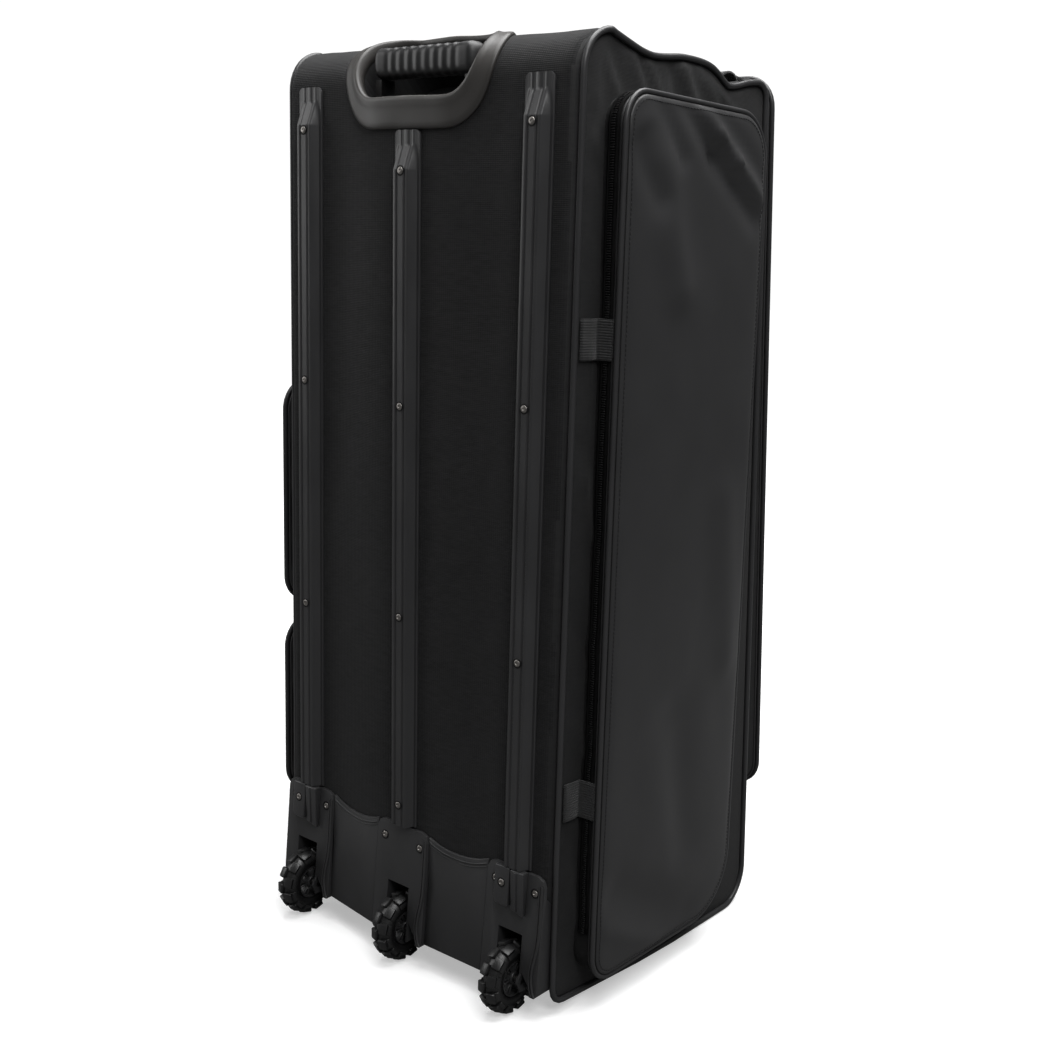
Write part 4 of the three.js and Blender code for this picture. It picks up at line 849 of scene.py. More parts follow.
def filled(sides):
    """Coons grid that fills a loop: rows upwards from the bottom side, columns from the low side."""
    low, top, high, bottom = sides
    right = high[::-1]
    under = bottom[::-1]
    rows, columns = len(low) - 1, len(top) - 1
    grid = []
    for i in range(rows + 1):
        t = i / rows
        row = []
        for j in range(columns + 1):
            s = j / columns
            p = ((1 - s) * low[i] + s * right[i] + (1 - t) * under[j] + t * top[j]
                 - (1 - s) * (1 - t) * low[0] - s * (1 - t) * right[0]
                 - (1 - s) * t * low[rows] - s * t * right[rows])
            row.append((p.x, p.y, s, t))
        grid.append(row)
    return grid


def crown(x, z):
    foot = RAIL_SPACING - HOUSING_HALF
    return lerp(CROWN_LOW, CROWN_HIGH, z / HEIGHT) * smooth(-abs(x), -foot, -HOUSING_HALF)


def edge_share(x):
    start = HALF_WIDTH - SEAM_ROUND
    return 1.0 if abs(x) < start else 1 - ((abs(x) - start) / SEAM_ROUND) ** 2.2


def recess(x, u, v):
    """How far the back is stepped in behind the housings."""
    edge = HALF_WIDTH - SEAM_ROUND * 0.4
    beside = clamp((edge - abs(x)) / (edge - RECESS_HALF))
    start = DEPTH_BOTTOM - FRONT_BOTTOM_RADIUS - REST_LENGTH
    under = 1 - clamp((u - SEAM_SETBACK - BACK_BOTTOM_RADIUS) / (start - SEAM_SETBACK - BACK_BOTTOM_RADIUS))
    return (RECESS_DEPTH - SEAM_SETBACK) * (1 - smooth(v, RECESS_TOP, RECESS_END)) * beside * under


SIDE_FOLD_LINES = [((a[0] * DEPTH_TOP, a[1] * HEIGHT), (b[0] * DEPTH_TOP, b[1] * HEIGHT), w, h)
                   for a, b, w, h in SIDE_FOLDS]


def side_lift(u, v):
    depth = lerp(DEPTH_BOTTOM, DEPTH_TOP, v / HEIGHT)
    s, t = clamp((u - SEAM_SETBACK) / (depth - SEAM_SETBACK)), clamp(v / HEIGHT)
    belly = (4 * s * (1 - s)) ** 0.55 * (4 * t * (1 - t)) ** 0.35
    return SIDE_BULGE * belly + fold_lift(SIDE_FOLD_LINES, u, v) * min(1, belly * 1.5)


def panel_wrinkles(x, z, seed):
    """Soft unevenness of the body's cloth, which fades out at the two side seams."""
    size = bpy.context.scene.kit_bag.wrinkle / MM
    edge = smooth(HALF_WIDTH - abs(x), 0, 12)
    return size * (ripple(x, z * 0.5, 70, seed) + 0.35 * ripple(x, z, 22, seed + 3)) * edge


def side_wrinkles(u, v, seed):
    size = bpy.context.scene.kit_bag.wrinkle / MM
    s = clamp((u - SEAM_SETBACK) / (DEPTH_TOP - SEAM_SETBACK))
    edge = min(1.0, 6 * s * (1 - s))
    strip = math.exp(-((u - STRIP_ROLL) / 7.5) ** 2) * smooth(v, 40, 90)
    roll = 2.6 * (0.7 + 0.9 * ripple(u, v * 0.35, 45, seed + 5))
    roll += 2.2 * ripple(u + v * 0.35, v * 0.6, 17, seed + 7)
    soft = 1.6 * ripple(u, v * 0.4, 60, seed) + 0.6 * ripple(u * 1.4, v * 0.5, 24, seed + 3)
    return size * soft * edge + strip * roll


def body_skin(offset=0.0):
    step = bpy.context.scene.kit_bag.grid_step / MM
    sides = even_sides(seam_sides(), step)
    loop = loop_of(sides)
    normals = outline_normals(loop, 2)
    fine = [0, 0.4, 1.2, 2.4, 3.6, 6, 9, 13, 17, 24, 31]
    half = [HALF_WIDTH - d for d in fine]
    half += [lerp(half[-1], 0, k / 20) for k in range(1, 21)]
    places = [-x for x in half] + half[::-1][1:]
    skin = Skin()
    rows, uv = [], []
    run = [0.0]
    for a, b in zip(loop, loop[1:] + loop[:1]):
        run.append(run[-1] + (b - a).length)
    for x in places:
        row = []
        for p, n in zip(loop, normals):
            fade = smooth(p.y, RECESS_TOP, RECESS_END)
            back = (SEAM_SETBACK * edge_share(x) + crown(x, p.y)) * fade
            y = (p.x + n.x * (offset + (back if n.x < 0 else FRONT_ROUND * edge_share(x)))
                 + recess(x, p.x, p.y))
            z = p.y + n.y * (offset + (TOP_RISE * edge_share(x) if n.y > 0 else 0))
            lift = panel_wrinkles(x, p.y, 1.0) if p.y > RECESS_END else 0
            row.append(Vector((x * (1 + offset / HALF_WIDTH), y + n.x * lift,
                               max(z + n.y * lift * 1.5, -offset))))
        rows.append(row)
        uv.append([(x * MM, r * MM) for r in run])
    uv.append(uv[-1])
    skin.grid(rows, uv=uv, across=True)
    inner = filled(sides)
    last, width = len(inner) - 1, len(inner[0]) - 1
    for sign, seed in ((-1, 5.0), (1, 9.0)):
        face = []
        for i, row in enumerate(inner):
            line = []
            for j, (u, v, s, t) in enumerate(row):
                rim = i in (0, last) or j in (0, width)
                lift = 0 if rim else side_lift(u, v) + side_wrinkles(u, v, seed)
                line.append(Vector((sign * (HALF_WIDTH + offset + lift), u, max(v, -offset))))
            face.append(line)
        skin.grid(face, uv=[[(u * MM, v * MM) for u, v, _, _ in row] for row in inner])
    return skin, loop, normals


SURFACE = {}
RAY_START = 1500  # far outside the bag


def on_body(axis, sign, a, b):
    """Place and outward normal on the body, looking in along an axis (0 X, 1 Y, 2 Z), or None."""
    tree = SURFACE["tree"]
    start = Vector((0, 0, 0))
    others = [k for k in (0, 1, 2) if k != axis]
    start[others[0]], start[others[1]] = a, b
    start[axis] = RAY_START * sign
    ray = Vector((0, 0, 0))
    ray[axis] = -sign
    hit, normal, _, _ = tree.ray_cast(start, ray)
    if hit is None:
        return None
    return hit, (normal if normal.dot(ray) < 0 else -normal)


def make_surface():
    if not SURFACE:
        skin, loop, normals = body_skin()
        SURFACE.update(skin=skin, loop=loop, normals=normals,
                       tree=BVHTree.FromPolygons(skin.points, skin.faces, epsilon=0.0))
    return SURFACE


def in_rounded(u, v, half, low, high, radius):
    du = max(abs(u) - (half - radius), 0)
    middle, reach = (low + high) / 2, (high - low) / 2
    dv = max(abs(v - middle) - (reach - radius), 0)
    return abs(u) < half and abs(v - middle) < reach and math.hypot(du, dv) < radius


def rounded_loop(low, bottom, high, top, radius, far_foot=None, far_head=None):
    """The four sides of a rounded rectangle, each from the middle of one corner to the next."""
    foot, head = far_foot or radius, far_head or radius
    left, under, over = low + radius, bottom + radius, top - radius
    far_under, far_over = (high - foot, bottom + foot), (high - head, top - head)
    return [
        arc((left, under), radius, 225, 180, 8) + arc((left, over), radius, 180, 135, 8),
        arc((left, over), radius, 135, 90, 8) + arc(far_over, head, 90, 45, 8),
        arc(far_over, head, 45, 0, 8) + arc(far_under, foot, 0, -45, 8),
        arc(far_under, foot, -45, -90, 8) + arc((left, under), radius, 270, 225, 8),
    ]


def front_y(x, z):
    hit = on_body(1, 1, x, z)
    return hit[0].y if hit else DEPTH_TOP


def side_x(sign, u, v):
    hit = on_body(0, sign, u, v)
    return abs(hit[0].x) if hit else HALF_WIDTH


# Pieces of the bag

def two_cloths(data, around, panel, on_panel):
    """One cloth all round and another on the faces whose normal says that they belong to the panel."""
    data.materials.clear()
    data.materials.append(around)
    data.materials.append(panel)
    for polygon in data.polygons:
        polygon.material_index = 1 if on_panel(polygon.normal) else 0


def make_body():
    surface = make_surface()
    m = materials()
    well = (WELL[0] + WELL_LIP, WELL[1] - WELL_LIP, WELL[2] + WELL_LIP, WELL[3] + WELL_LIP)
    opening = (LID[0] - LID_LAP, LID[1] + LID_LAP, LID[2] - LID_LAP, LID[3])

    def drop(c):
        x, y, z = c.x / MM - SHIFT_X, c.y / MM - SHIFT_Y, c.z / MM
        if (z - y) / math.sqrt(2) > WELL_FLOOR and in_rounded(x, (y + z) / math.sqrt(2), *well):
            return True
        return y > LID_BEHIND and in_rounded(x, z, *opening)

    data = surface["skin"].mesh("bag_body", drop)
    body = piece("bag_body", thickened(data, CLOTH), None, replaces=["body_tray"])
    two_cloths(body.data, m["back"], m["side"], lambda normal: abs(normal.x) > 0.7)


def make_seam_piping():
    surface = make_surface()
    m = materials()
    for side, sign in (("left", -1), ("right", 1)):
        skin = Skin()
        reach = SEAM_PIPE - 0.4
        path = []
        for p, n in zip(surface["loop"], surface["normals"]):
            height = p.y + n.y * reach * 0.6
            raised = max(SEAM_PIPE - height, 0)
            path.append(Vector((sign * (HALF_WIDTH + reach * 0.8 + raised * 0.6), p.x + n.x * reach * 0.6,
                                height + raised)))
        bead(skin, path, [Vector((sign, 0, 0))] * len(path), SEAM_PIPE, 12)
        piece(f"seam_bead_{side}", skin.mesh("bead"), m["piping"], replaces=[f"seam_piping_{side}"])


def make_lid():
    m = materials()
    half, bottom, top, radius = LID
    skin = Skin()
    sides = even_sides(rounded_loop(-half, bottom, half, top, radius), 9)
    grid = filled(sides)
    skin.grid([[Vector((u, front_y(u, v) + 1.0 + 1.5 * (16 * s * (1 - s) * t * (1 - t)) ** 0.5, v))
                for u, v, s, t in row] for row in grid],
              uv=[[(u * MM, v * MM) for u, v, _, _ in row] for row in grid])
    piece("lid", thickened(skin.mesh("lid"), 2), m["side"], replaces=["lid_panel"])
    ring = Skin()
    loop = loop_of(even_sides(rounded_loop(-half, bottom, half, top, radius), 6))
    rows = []
    for amount, lift in ((-2, 0.4), (0.6, 1.6), (MAIN_ZIP * 0.5, 1.8), (MAIN_ZIP - 0.6, 1.6),
                         (MAIN_ZIP + 1, 0.3)):
        rows.append([Vector((p.x, front_y(p.x, p.y) + lift, p.y)) for p in grown(loop, amount)])
    ring.grid(rows, across=True)
    piece("main_zip_tape", thickened(ring.mesh("zip"), 0.8), m["tape"], replaces=["main_zip"])
    track = [Vector((p.x, front_y(p.x, p.y) + 1.6, p.y)) for p in grown(loop, MAIN_ZIP * 0.5)]
    add_teeth("main_zip_teeth", track, [Vector((0, 1, 0))] * len(track), True)


def along_track(track, outs, closed):
    """Places for a repeat: point, way out of the cloth, way along the track."""
    count = len(track)
    places = []
    for i, (p, out) in enumerate(zip(track, outs)):
        a = track[i - 1] if closed or i else track[i]
        b = track[(i + 1) % count] if closed or i < count - 1 else track[i]
        places.append((p, out, (b - a).normalized()))
    return places


def add_teeth(name, track, outs, closed):
    pitch = bpy.context.scene.kit_bag.tooth_pitch / MM
    data = repeated(name, item_box(TOOTH, 0.3), along_track(track, outs, closed), materials()["teeth"],
                    pitch=pitch, closed=closed)
    piece(name, data, None)


def add_stitches(name, track, out):
    places = along_track(track, [out] * len(track), True)
    data = repeated(name, item_box(STITCH, 0.15), places, materials()["thread"], pitch=STITCH_PITCH,
                    closed=True)
    piece(name, data, None)


def add_slider(name, place, out, along):
    """Zip slider with a bridge and a hanging pull; out leaves the cloth and along runs down the track."""
    skin = Skin()
    side = out.cross(along)
    for lift, shift, size, radius in SLIDER:
        centre = place + out * lift + along * shift
        half, section = size[0] / 2, rounded_bar(size[1], size[2], radius)
        rows = []
        for d, shrink in ((-half, 0.8), (-half + radius * 0.6, 1), (half - radius * 0.6, 1), (half, 0.8)):
            rows.append([centre + along * d + (side * a + out * b) * shrink for a, b in section])
        skin.grid(rows, across=True)
        skin.fan(rows[0])
        skin.fan(rows[-1])
    piece(name, skin.mesh(name), materials()["steel"])


class Pocket:
    """One pocket: its outline in the plane of its panel and how far its parts stand out."""

    def __init__(self, name):
        settings = bpy.context.scene.kit_bag
        self.name, self.size = name, POCKETS[name]
        self.front = name == "front"
        self.sign = -1 if name.startswith("left") else 1
        self.out = Vector((0, 1, 0)) if self.front else Vector((self.sign, 0, 0))
        self.step, self.wrinkle = settings.grid_step / MM, settings.wrinkle / MM
        self.seed = len(name) * 1.7
        edges = ("low", "bottom", "high", "top", "radius", "foot", "head")
        outline = rounded_loop(*(self.size[key] for key in edges))
        self.sides = even_sides([[self.narrowed(p) for p in side] for side in outline], self.step)
        self.loop = loop_of(self.sides)
        self.folds = []
        if name == "right":
            self.folds = [(self.at(*start), self.at(*end), width, lift)
                          for start, end, width, lift in POCKET_FOLDS]
        self.grid = filled(self.sides)
        self.face = [[self.place(u, v, self.height(u, v, s, t)) for u, v, s, t in row] for row in self.grid]

    def at(self, s, t):
        return lerp(self.size["low"], self.size["high"], s), lerp(self.size["bottom"], self.size["top"], t)

    def shares(self, u, v):
        low, high, bottom, top = (self.size[key] for key in ("low", "high", "bottom", "top"))
        return (u - low) / (high - low), (v - bottom) / (top - bottom)

    def narrowed(self, point):
        s, t = self.shares(*point)
        return point[0] - self.size["narrow"] * s * t ** 4, point[1] - self.size["drop"] * s * s * t ** 4

    def place(self, u, v, h):
        return Vector((u, h, v)) if self.front else Vector((self.sign * h, u, v))

    def foot(self, u, v):
        """How far out the panel under the pocket's edge lies."""
        return front_y(u, min(v, GUSSET_TOP)) if self.front else side_x(self.sign, u, v)

    def rise(self, u, v):
        """How far out the edge of the face lies."""
        if not self.front:
            return HALF_WIDTH + SIDE_BULGE + self.size["rise"]
        up = clamp((v - FRONT_FOOT) / (FRONT_HEAD - FRONT_FOOT))
        line = lerp(DEPTH_BOTTOM, DEPTH_TOP, up) + FRONT_ROUND
        return line + lerp(self.size["low_rise"], self.size["rise"], self.shares(u, v)[1])

    def height(self, u, v, s, t):
        """How far out the face lies, with its puff, creases and soft unevenness."""
        pillow = (16 * s * (1 - s) * t * (1 - t)) ** 0.45
        soft = 2.2 * ripple(u, v * 0.4, 110, self.seed) + 0.5 * ripple(u, v * 0.6, 34, self.seed)
        crease = fold_lift(self.folds, u, v) + self.wrinkle * soft
        return self.rise(u, v) + self.size["puff"] * pillow + crease * min(1, pillow * 1.4)

    def edge(self, amount, sink):
        """The face's outline, grown in its plane and sunk below the face."""
        return [self.place(p.x, p.y, self.rise(p.x, p.y) - sink) for p in grown(self.loop, amount)]

    def gusset(self):
        """Rows of the side wall, from the panel out to the face, puckered between its seams."""
        rows = []
        for k in range(GUSSET_STEPS + 1):
            t = k / GUSSET_STEPS
            belly = math.sin(math.pi * t)
            row = []
            for i, (p, edge) in enumerate(zip(grown(self.loop, 1.6 * belly ** 0.7), self.loop)):
                around = i * self.step
                pucker = 0.5 * math.sin(around / 9) * belly + 1.2 * ripple(around, t * 40, 45, self.seed)
                away = p - edge
                if away.length > 1e-6:
                    away = away.normalized() * pucker * belly
                q = p + away
                level = min(edge.y, GUSSET_TOP) if self.front else edge.y
                row.append(self.place(q.x, lerp(level + q.y - p.y, q.y, smooth(t, 0, 0.7)),
                                      lerp(self.foot(edge.x, edge.y) - 1, self.rise(edge.x, edge.y), t)))
            rows.append(row)
        return rows


def pocket_shell(pocket, cloth):
    skin = Skin()
    skin.grid(pocket.face, uv=[[(u * MM, v * MM) for u, v, _, _ in row] for row in pocket.grid])
    skin.grid(pocket.gusset(), across=True)
    shell = piece(f"pocket_{pocket.name}_shell", thickened(skin.mesh("pocket"), POCKET_CLOTH), None,
                  replaces=[f"pocket_{pocket.name}"])
    two_cloths(shell.data, materials()["gusset"], cloth, lambda normal: normal.dot(pocket.out) > 0.6)


def pocket_piping(pocket):
    beads = Skin()
    for amount, sink, radius, sides in ((POCKET_PIPE + GAP, POCKET_PIPE, POCKET_PIPE, 12),
                                        (1.4, POCKET_PIPE * 3, 1.1, 8)):
        path = pocket.edge(amount, sink)
        bead(beads, path, [pocket.out] * len(path), radius, sides)
    piece(f"pocket_{pocket.name}_bead", beads.mesh("bead"), materials()["piping"],
          replaces=[f"pocket_{pocket.name}_piping"])


def pocket_zip(pocket):
    """Zip along the gusset, round the top from low on the near edge to low on the far edge."""
    loop, sides = pocket.loop, pocket.sides
    start = round((len(sides[0]) - 1) * ZIP_BACK)
    stop = len(sides[0]) + len(sides[1]) + round((len(sides[2]) - 1) * ZIP_FRONT)
    outer, normals = grown(loop, 2.2), outline_normals(loop)
    rows, track, outs = [], [], []
    for i in range(start, min(stop, len(loop) - 2)):
        p, n = outer[i], normals[i]
        h = lerp(pocket.foot(loop[i].x, loop[i].y), pocket.rise(loop[i].x, loop[i].y), ZIP_LINE)
        rows.append([pocket.place(p.x + n.x * lift, p.y + n.y * lift, h + d) for d, lift in TAPE])
        track.append(pocket.place(p.x, p.y, h))
        outs.append(pocket.place(n.x, n.y, 0).normalized())
    tape = Skin()
    tape.grid(rows)
    node = f"pocket_{pocket.name}_zip"
    piece(f"pocket_{pocket.name}_tape", thickened(tape.mesh("tape"), 0.8), materials()["tape"],
          replaces=[node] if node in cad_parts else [])
    add_teeth(f"pocket_{pocket.name}_teeth", track, outs, False)
    spot = round(len(track) * (SLIDER_RIGHT if pocket.name == "right" else SLIDER_OTHERS))
    along = (track[spot + 1] - track[spot]).normalized()
    add_slider(f"pocket_{pocket.name}_slider", track[spot] + outs[spot] * 0.8, outs[spot], along)


def pocket_stitches(pocket):
    """Stitches on the face, just inside its piping."""
    width = len(pocket.face[0])
    quads = [(a, a + 1, a + width + 1, a + width) for i in range(len(pocket.face) - 1)
             for a in range(i * width, (i + 1) * width - 1)]
    tree = BVHTree.FromPolygons([p for row in pocket.face for p in row], quads, epsilon=0.0)
    seam = []
    for p in grown(pocket.loop, -STITCH_INSET):
        hit, _, _, _ = tree.ray_cast(pocket.place(p.x, p.y, 900), -pocket.out)
        seam.append((hit or pocket.place(p.x, p.y, pocket.rise(p.x, p.y))) + pocket.out * 0.1)
    add_stitches(f"pocket_{pocket.name}_stitches", seam, pocket.out)


def make_pockets():
    m = materials()
    for name in POCKETS:
        pocket = Pocket(name)
        pocket_shell(pocket, m["pocket"] if name == "right" else m["side"])
        pocket_piping(pocket)
        pocket_zip(pocket)
        pocket_stitches(pocket)


def rail_back(x, z):
    return -crown(x, z) - GAP


def rail_profile():
    """Closed section of a rail: across, share of the rib's height, share of the flange's."""
    edge = [(RAIL_HALF, 0, 0), (RAIL_HALF, 0, 0.7), (RAIL_HALF - 0.7, 0, 1), (RAIL_RIB_FOOT + 0.6, 0, 1),
            (RAIL_RIB_FOOT, 0.06, 1), (RAIL_RIB_HALF + 0.25, 0.88, 1), (RAIL_RIB_HALF - 0.4, 0.97, 1),
            (RAIL_RIB_HALF - 1.2, 1, 1)]
    flutes = [(centre + a, share, 1) for centre in (FLUTE_SPACING, -FLUTE_SPACING) for a, share in FLUTE]
    far = [(-across, rib, flange) for across, rib, flange in reversed(edge)]
    return far[-1:] + edge + flutes + far[:-1]


def rail_heights(top):
    start, end = top - RAIL_RAMP[0], top - RAIL_RAMP[1]
    heights = [RAIL_BOTTOM, RAIL_BOTTOM + 1] + [lerp(RAIL_BOTTOM, start, k / 40) for k in range(1, 40)]
    heights += [start - 0.8, start, start + 0.8] + [lerp(start, end, k / 8) for k in range(1, 8)]
    heights += [end - 0.6, end, end + 0.6]
    return heights + [top - RAIL_TONGUE + RAIL_TONGUE * math.sin(math.pi / 2 * k / 8) for k in range(9)]


def make_rails():
    m = materials()
    profile = rail_profile()
    for side, (x, top, _) in RAILS.items():
        rows = []
        for z in rail_heights(top):
            ramp = 1 - 0.95 * clamp((z - (top - RAIL_RAMP[0])) / (RAIL_RAMP[0] - RAIL_RAMP[1]))
            cut = max(z - (top - RAIL_TONGUE), 0)
            limit = RAIL_HALF - RAIL_TONGUE + math.sqrt(max(RAIL_TONGUE ** 2 - cut ** 2, 0))
            row = []
            for across, rib, flange in profile:
                share = max(ramp - 1 + rib, 0.02) if rib > 0.5 else rib * ramp
                proud = RAIL_FLANGE * flange + (RAIL_RIB_HEIGHT - RAIL_FLANGE) * share
                row.append(Vector((x + clamp(across, -limit, limit), rail_back(x, z) - proud, z)))
            rows.append(row)
        skin = Skin()
        skin.grid(rows, across=True)
        skin.fan(rows[0])
        skin.fan(rows[-1])
        piece(f"skid_rail_{side}", skin.mesh("rail"), m["rail"], replaces=[f"rail_{side}"],
              angle=40)


def make_rivets():
    m = materials()
    heads, names = [], []

    def add(x, y, z, lean=0.0):
        heads.append((Vector((x, y, z)), Vector((0, -1, lean)), Vector((1, 0, 0))))
    for side, (x, top, shares) in RAILS.items():
        for i, share in enumerate(shares):
            z = lerp(top, RAIL_BOTTOM, share)
            add(x, rail_back(x, z) - RAIL_RIB_HEIGHT, z)
            names.append(f"rail_rivet_{side}_{i + 1}")
    for side in SIDES:
        for tag, sign in (("a", -1), ("b", 1)):
            node = f"housing_rivet_{side}_{tag}"
            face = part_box(node)[1][1] / MM - SHIFT_Y
            add(RAILS[side][0] + sign * PLATE_RIVET[0], face + 0.5, PLATE_RIVET[1], RIVET_LEAN)
            names.append(node)
    for side in ("left", "right"):
        across, z, proud = CLIP_SCREW
        add(RAILS[side][0] + across, housing_face(z) - GAP - proud, z, RIVET_LEAN)
    data = repeated("rivet_heads", turned(RIVET_HEAD, 24), heads, m["rivet"])
    piece("rivet_heads", data, None, replaces=names, angle=35)
    # Dark rings round the rivet heads: painted shade where each head meets the plastic under it.
    data = repeated("rivet_washers", turned(RIVET_SHADE_RING, 24), heads, m["teeth"])
    piece("rivet_washers", data, None, angle=35)


def rounded_copy(node, width, segments=2, dissolve=1.0):
    """Copy of an engineered node with its flat facets joined and its edges rounded."""
    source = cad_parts[node]
    bm = bmesh.new()
    bm.from_mesh(source.data)
    bm.transform(source.matrix_world)
    bmesh.ops.remove_doubles(bm, verts=bm.verts, dist=2e-6)
    bmesh.ops.dissolve_limit(bm, angle_limit=math.radians(dissolve), verts=bm.verts, edges=bm.edges)
    bmesh.ops.recalc_face_normals(bm, faces=bm.faces)
    data = bpy.data.meshes.new(node + "_skin")
    bm.to_mesh(data)
    bm.free()
    obj = loose(node + "_skin", data)
    bevel = obj.modifiers.new("edges", "BEVEL")
    bevel.width = width * MM
    bevel.segments = segments
    bevel.limit_method = "ANGLE"
    bevel.angle_limit = math.radians(28)
    bevel.harden_normals = False
    bevel.use_clamp_overlap = True
    result = evaluated(obj)
    if "UVMap" not in result.uv_layers:
        result.uv_layers.new(name="UVMap")
    return result


def housing_face(z):
    (foot, near), (top, far) = HOUSING_SLOPE
    return lerp(near, far, (z - foot) / (top - foot))


def clip_part(side, tag, replaces=()):
    """One bevelled part of a rail clip, over the housing's face."""
    outline, proud, bevel = CLIP_PARTS[tag]
    bm = bmesh.new()
    rings = []
    for depth in (0, 1):
        ring = []
        for across, z in outline:
            lift = lerp(*proud, (z - CLIP_RISE[0]) / (CLIP_RISE[1] - CLIP_RISE[0])) * depth
            ring.append(bm.verts.new(((RAILS[side][0] + across + SHIFT_X) * MM,
                                      (housing_face(z) - GAP - lift + SHIFT_Y) * MM, z * MM)))
        bm.faces.new(ring)
        rings.append(ring)
    count = len(outline)
    for i in range(count):
        bm.faces.new((rings[0][i], rings[0][(i + 1) % count], rings[1][(i + 1) % count], rings[1][i]))
    bmesh.ops.recalc_face_normals(bm, faces=bm.faces)
    bmesh.ops.bevel(bm, geom=bm.edges[:], offset=bevel * MM, segments=3, affect="EDGES", profile=0.5)
    data = bpy.data.meshes.new(tag)
    bm.to_mesh(data)
    bm.free()
    data.uv_layers.new(name="UVMap")
    piece(f"clip_{side}_{tag}", data, materials()["rail"], replaces=replaces, angle=50)


def open_beads(name, paths):
    """One piece of open beads, each a path in front of a plate and its radius."""
    skin = Skin()
    for path, radius in paths:
        bead(skin, path, [Vector((0, -1, 0))] * len(path), radius, 8, closed=False)
    piece(name, skin.mesh(name), materials()["plate"], angle=50)


def make_lips():
    """Raised lips down the housings and raised lines under the kick panels' top edges."""
    line = resample(curve_through(LIP_LINE, 6), 46)
    for side in SIDES:
        x, forward = RAILS[side][0], MIDDLE_PROUD if side == "middle" else 0
        open_beads(f"housing_lip_{side}", [
            ([Vector((x + p.x + shift, housing_face(p.y) - forward - 0.3, p.y)) for p in line], radius)
            for shift, radius in LIP_BEADS])
    for side, sign, near, far in (("left", -1, -6, 4), ("right", 1, -2, 0)):
        paths = []
        for drop, radius in KICK_BEADS:
            path = []
            for k in range(31):
                share = k / 30
                reach, z = lerp(*KICK_REACH, share), KICK_TOP - KICK_SAG * share * (1 - share) - drop
                y = min(housing_face(z) + lerp(near, far, share), -crown(reach, KICK_TOP) - 2.8)
                path.append(Vector((sign * reach, y - 0.1, z)))
            paths.append((path, radius))
        open_beads(f"kick_line_{side}", paths)


def make_base():
    m = materials()
    for side in SIDES:
        node = f"wheel_housing_{side}"
        piece(f"housing_{side}", rounded_copy(node, 1.1, 3), m["plate"], replaces=[node],
              angle=50)
    for side in ("left", "right"):
        node = f"kick_panel_{side}"
        piece(f"kick_{side}", rounded_copy(node, 0.8, 2), m["plate"], replaces=[node],
              angle=50)
        clip_part(side, "cap", [f"rail_clip_{side}"])
        clip_part(side, "sleeve")
        clip_part(side, "rib")
    make_lips()
    repaint({f"axle_{side}": m["steel"] for side in SIDES})


def repaint(nodes):
    """Gives engineered nodes that are shown as they are their material."""
    for node, material in nodes.items():
        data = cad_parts[node].data
        data.materials.clear()
        data.materials.append(material)


def turned_rows(hub, section, steps):
    """Rows round a wheel's hub from a section of (across, radius) pairs."""
    rows = []
    for k in range(steps):
        a = 2 * math.pi * k / steps
        rows.append([hub + Vector((across, r * math.cos(a), r * math.sin(a))) for across, r in section])
    return rows


def round_hub(angle):
    """Directions outwards and along the rim at an angle round a wheel."""
    return Vector((0, math.cos(angle), math.sin(angle))), Vector((0, -math.sin(angle), math.cos(angle)))


def make_tyre(side, hub):
    m = materials()
    blocks = bpy.context.scene.kit_bag.tread_blocks
    half, tread = TYRE_WIDTH / 2, AXLE_HEIGHT - TREAD_DEPTH
    near = [(0.62, RIM_RADIUS + 0.4), (0.78, RIM_RADIUS + 1.2), (0.88, RIM_RADIUS + 4),
            (0.9, lerp(RIM_RADIUS, tread, 0.5)), (0.86, tread - 6.4), (0.74, tread - 3.6), (0.5, tread - 1.4),
            (0.25, tread - 0.3)]
    section = [(-half * share, r) for share, r in near] + [(0, tread)]
    section += [(half * share, r) for share, r in reversed(near)]
    skin = Skin()
    skin.grid(turned_rows(hub, section, TYRE_STEPS), across=True, along=True)
    piece(f"tyre_{side}_carcass", skin.mesh("carcass"), m["rubber"], f"wheel_{side}", [f"tyre_{side}"])
    pitch = 2 * math.pi / blocks
    size = AXLE_HEIGHT * pitch
    crown_places, shoulder_places = [], []
    for sign, turn in ((-1, 0), (1, 0.5)):
        across = Vector((sign, 0, 0))
        for k in range(blocks):
            out, along = round_hub(pitch * (k + turn))
            crown_places.append((hub + across * half * 0.44 + out * (tread - 2.4),
                                 out * math.cos(TREAD_TILT) + across * math.sin(TREAD_TILT), along))
            shoulder_places.append((hub + across * half * 0.72 + out * (tread - 5.0),
                                    (out * 0.5 + across).normalized(), along))
    block = item_box((size * TREAD_BLOCK[0], half * TREAD_BLOCK[1], TREAD_BLOCK[2]), 1.2, 2)
    lug = item_box((size * TREAD_LUG[0], *TREAD_LUG[1:]), 0.8, 2)
    for tag, item, places in (("blocks", block, crown_places), ("lugs", lug, shoulder_places)):
        data = repeated(f"tyre_{side}_{tag}", item, places, m["rubber"])
        piece(f"tyre_{side}_{tag}", data, None, f"wheel_{side}", angle=40)


def make_rim(side, hub):
    m = materials()
    skin = Skin()
    skin.grid(turned_rows(hub, RIM_RING, 48), across=True, along=True)
    skin.grid(turned_rows(hub, RIM_CORE, 32), across=True, along=True)
    piece(f"rim_{side}_ring", skin.mesh("rim"), m["rim"], f"wheel_{side}", [f"rim_{side}"], angle=40)
    places = []
    for k in range(SPOKE_PAIRS):
        for spread in (-SPOKE_SPREAD, SPOKE_SPREAD):
            out, _ = round_hub(2 * math.pi * k / SPOKE_PAIRS + spread)
            places.append((hub + out * 5.6, out, Vector((1, 0, 0))))
    data = repeated(f"rim_{side}_spokes", item_box(SPOKE, 0.35), places, m["rim"])
    piece(f"rim_{side}_spokes", data, None, f"wheel_{side}", angle=40)


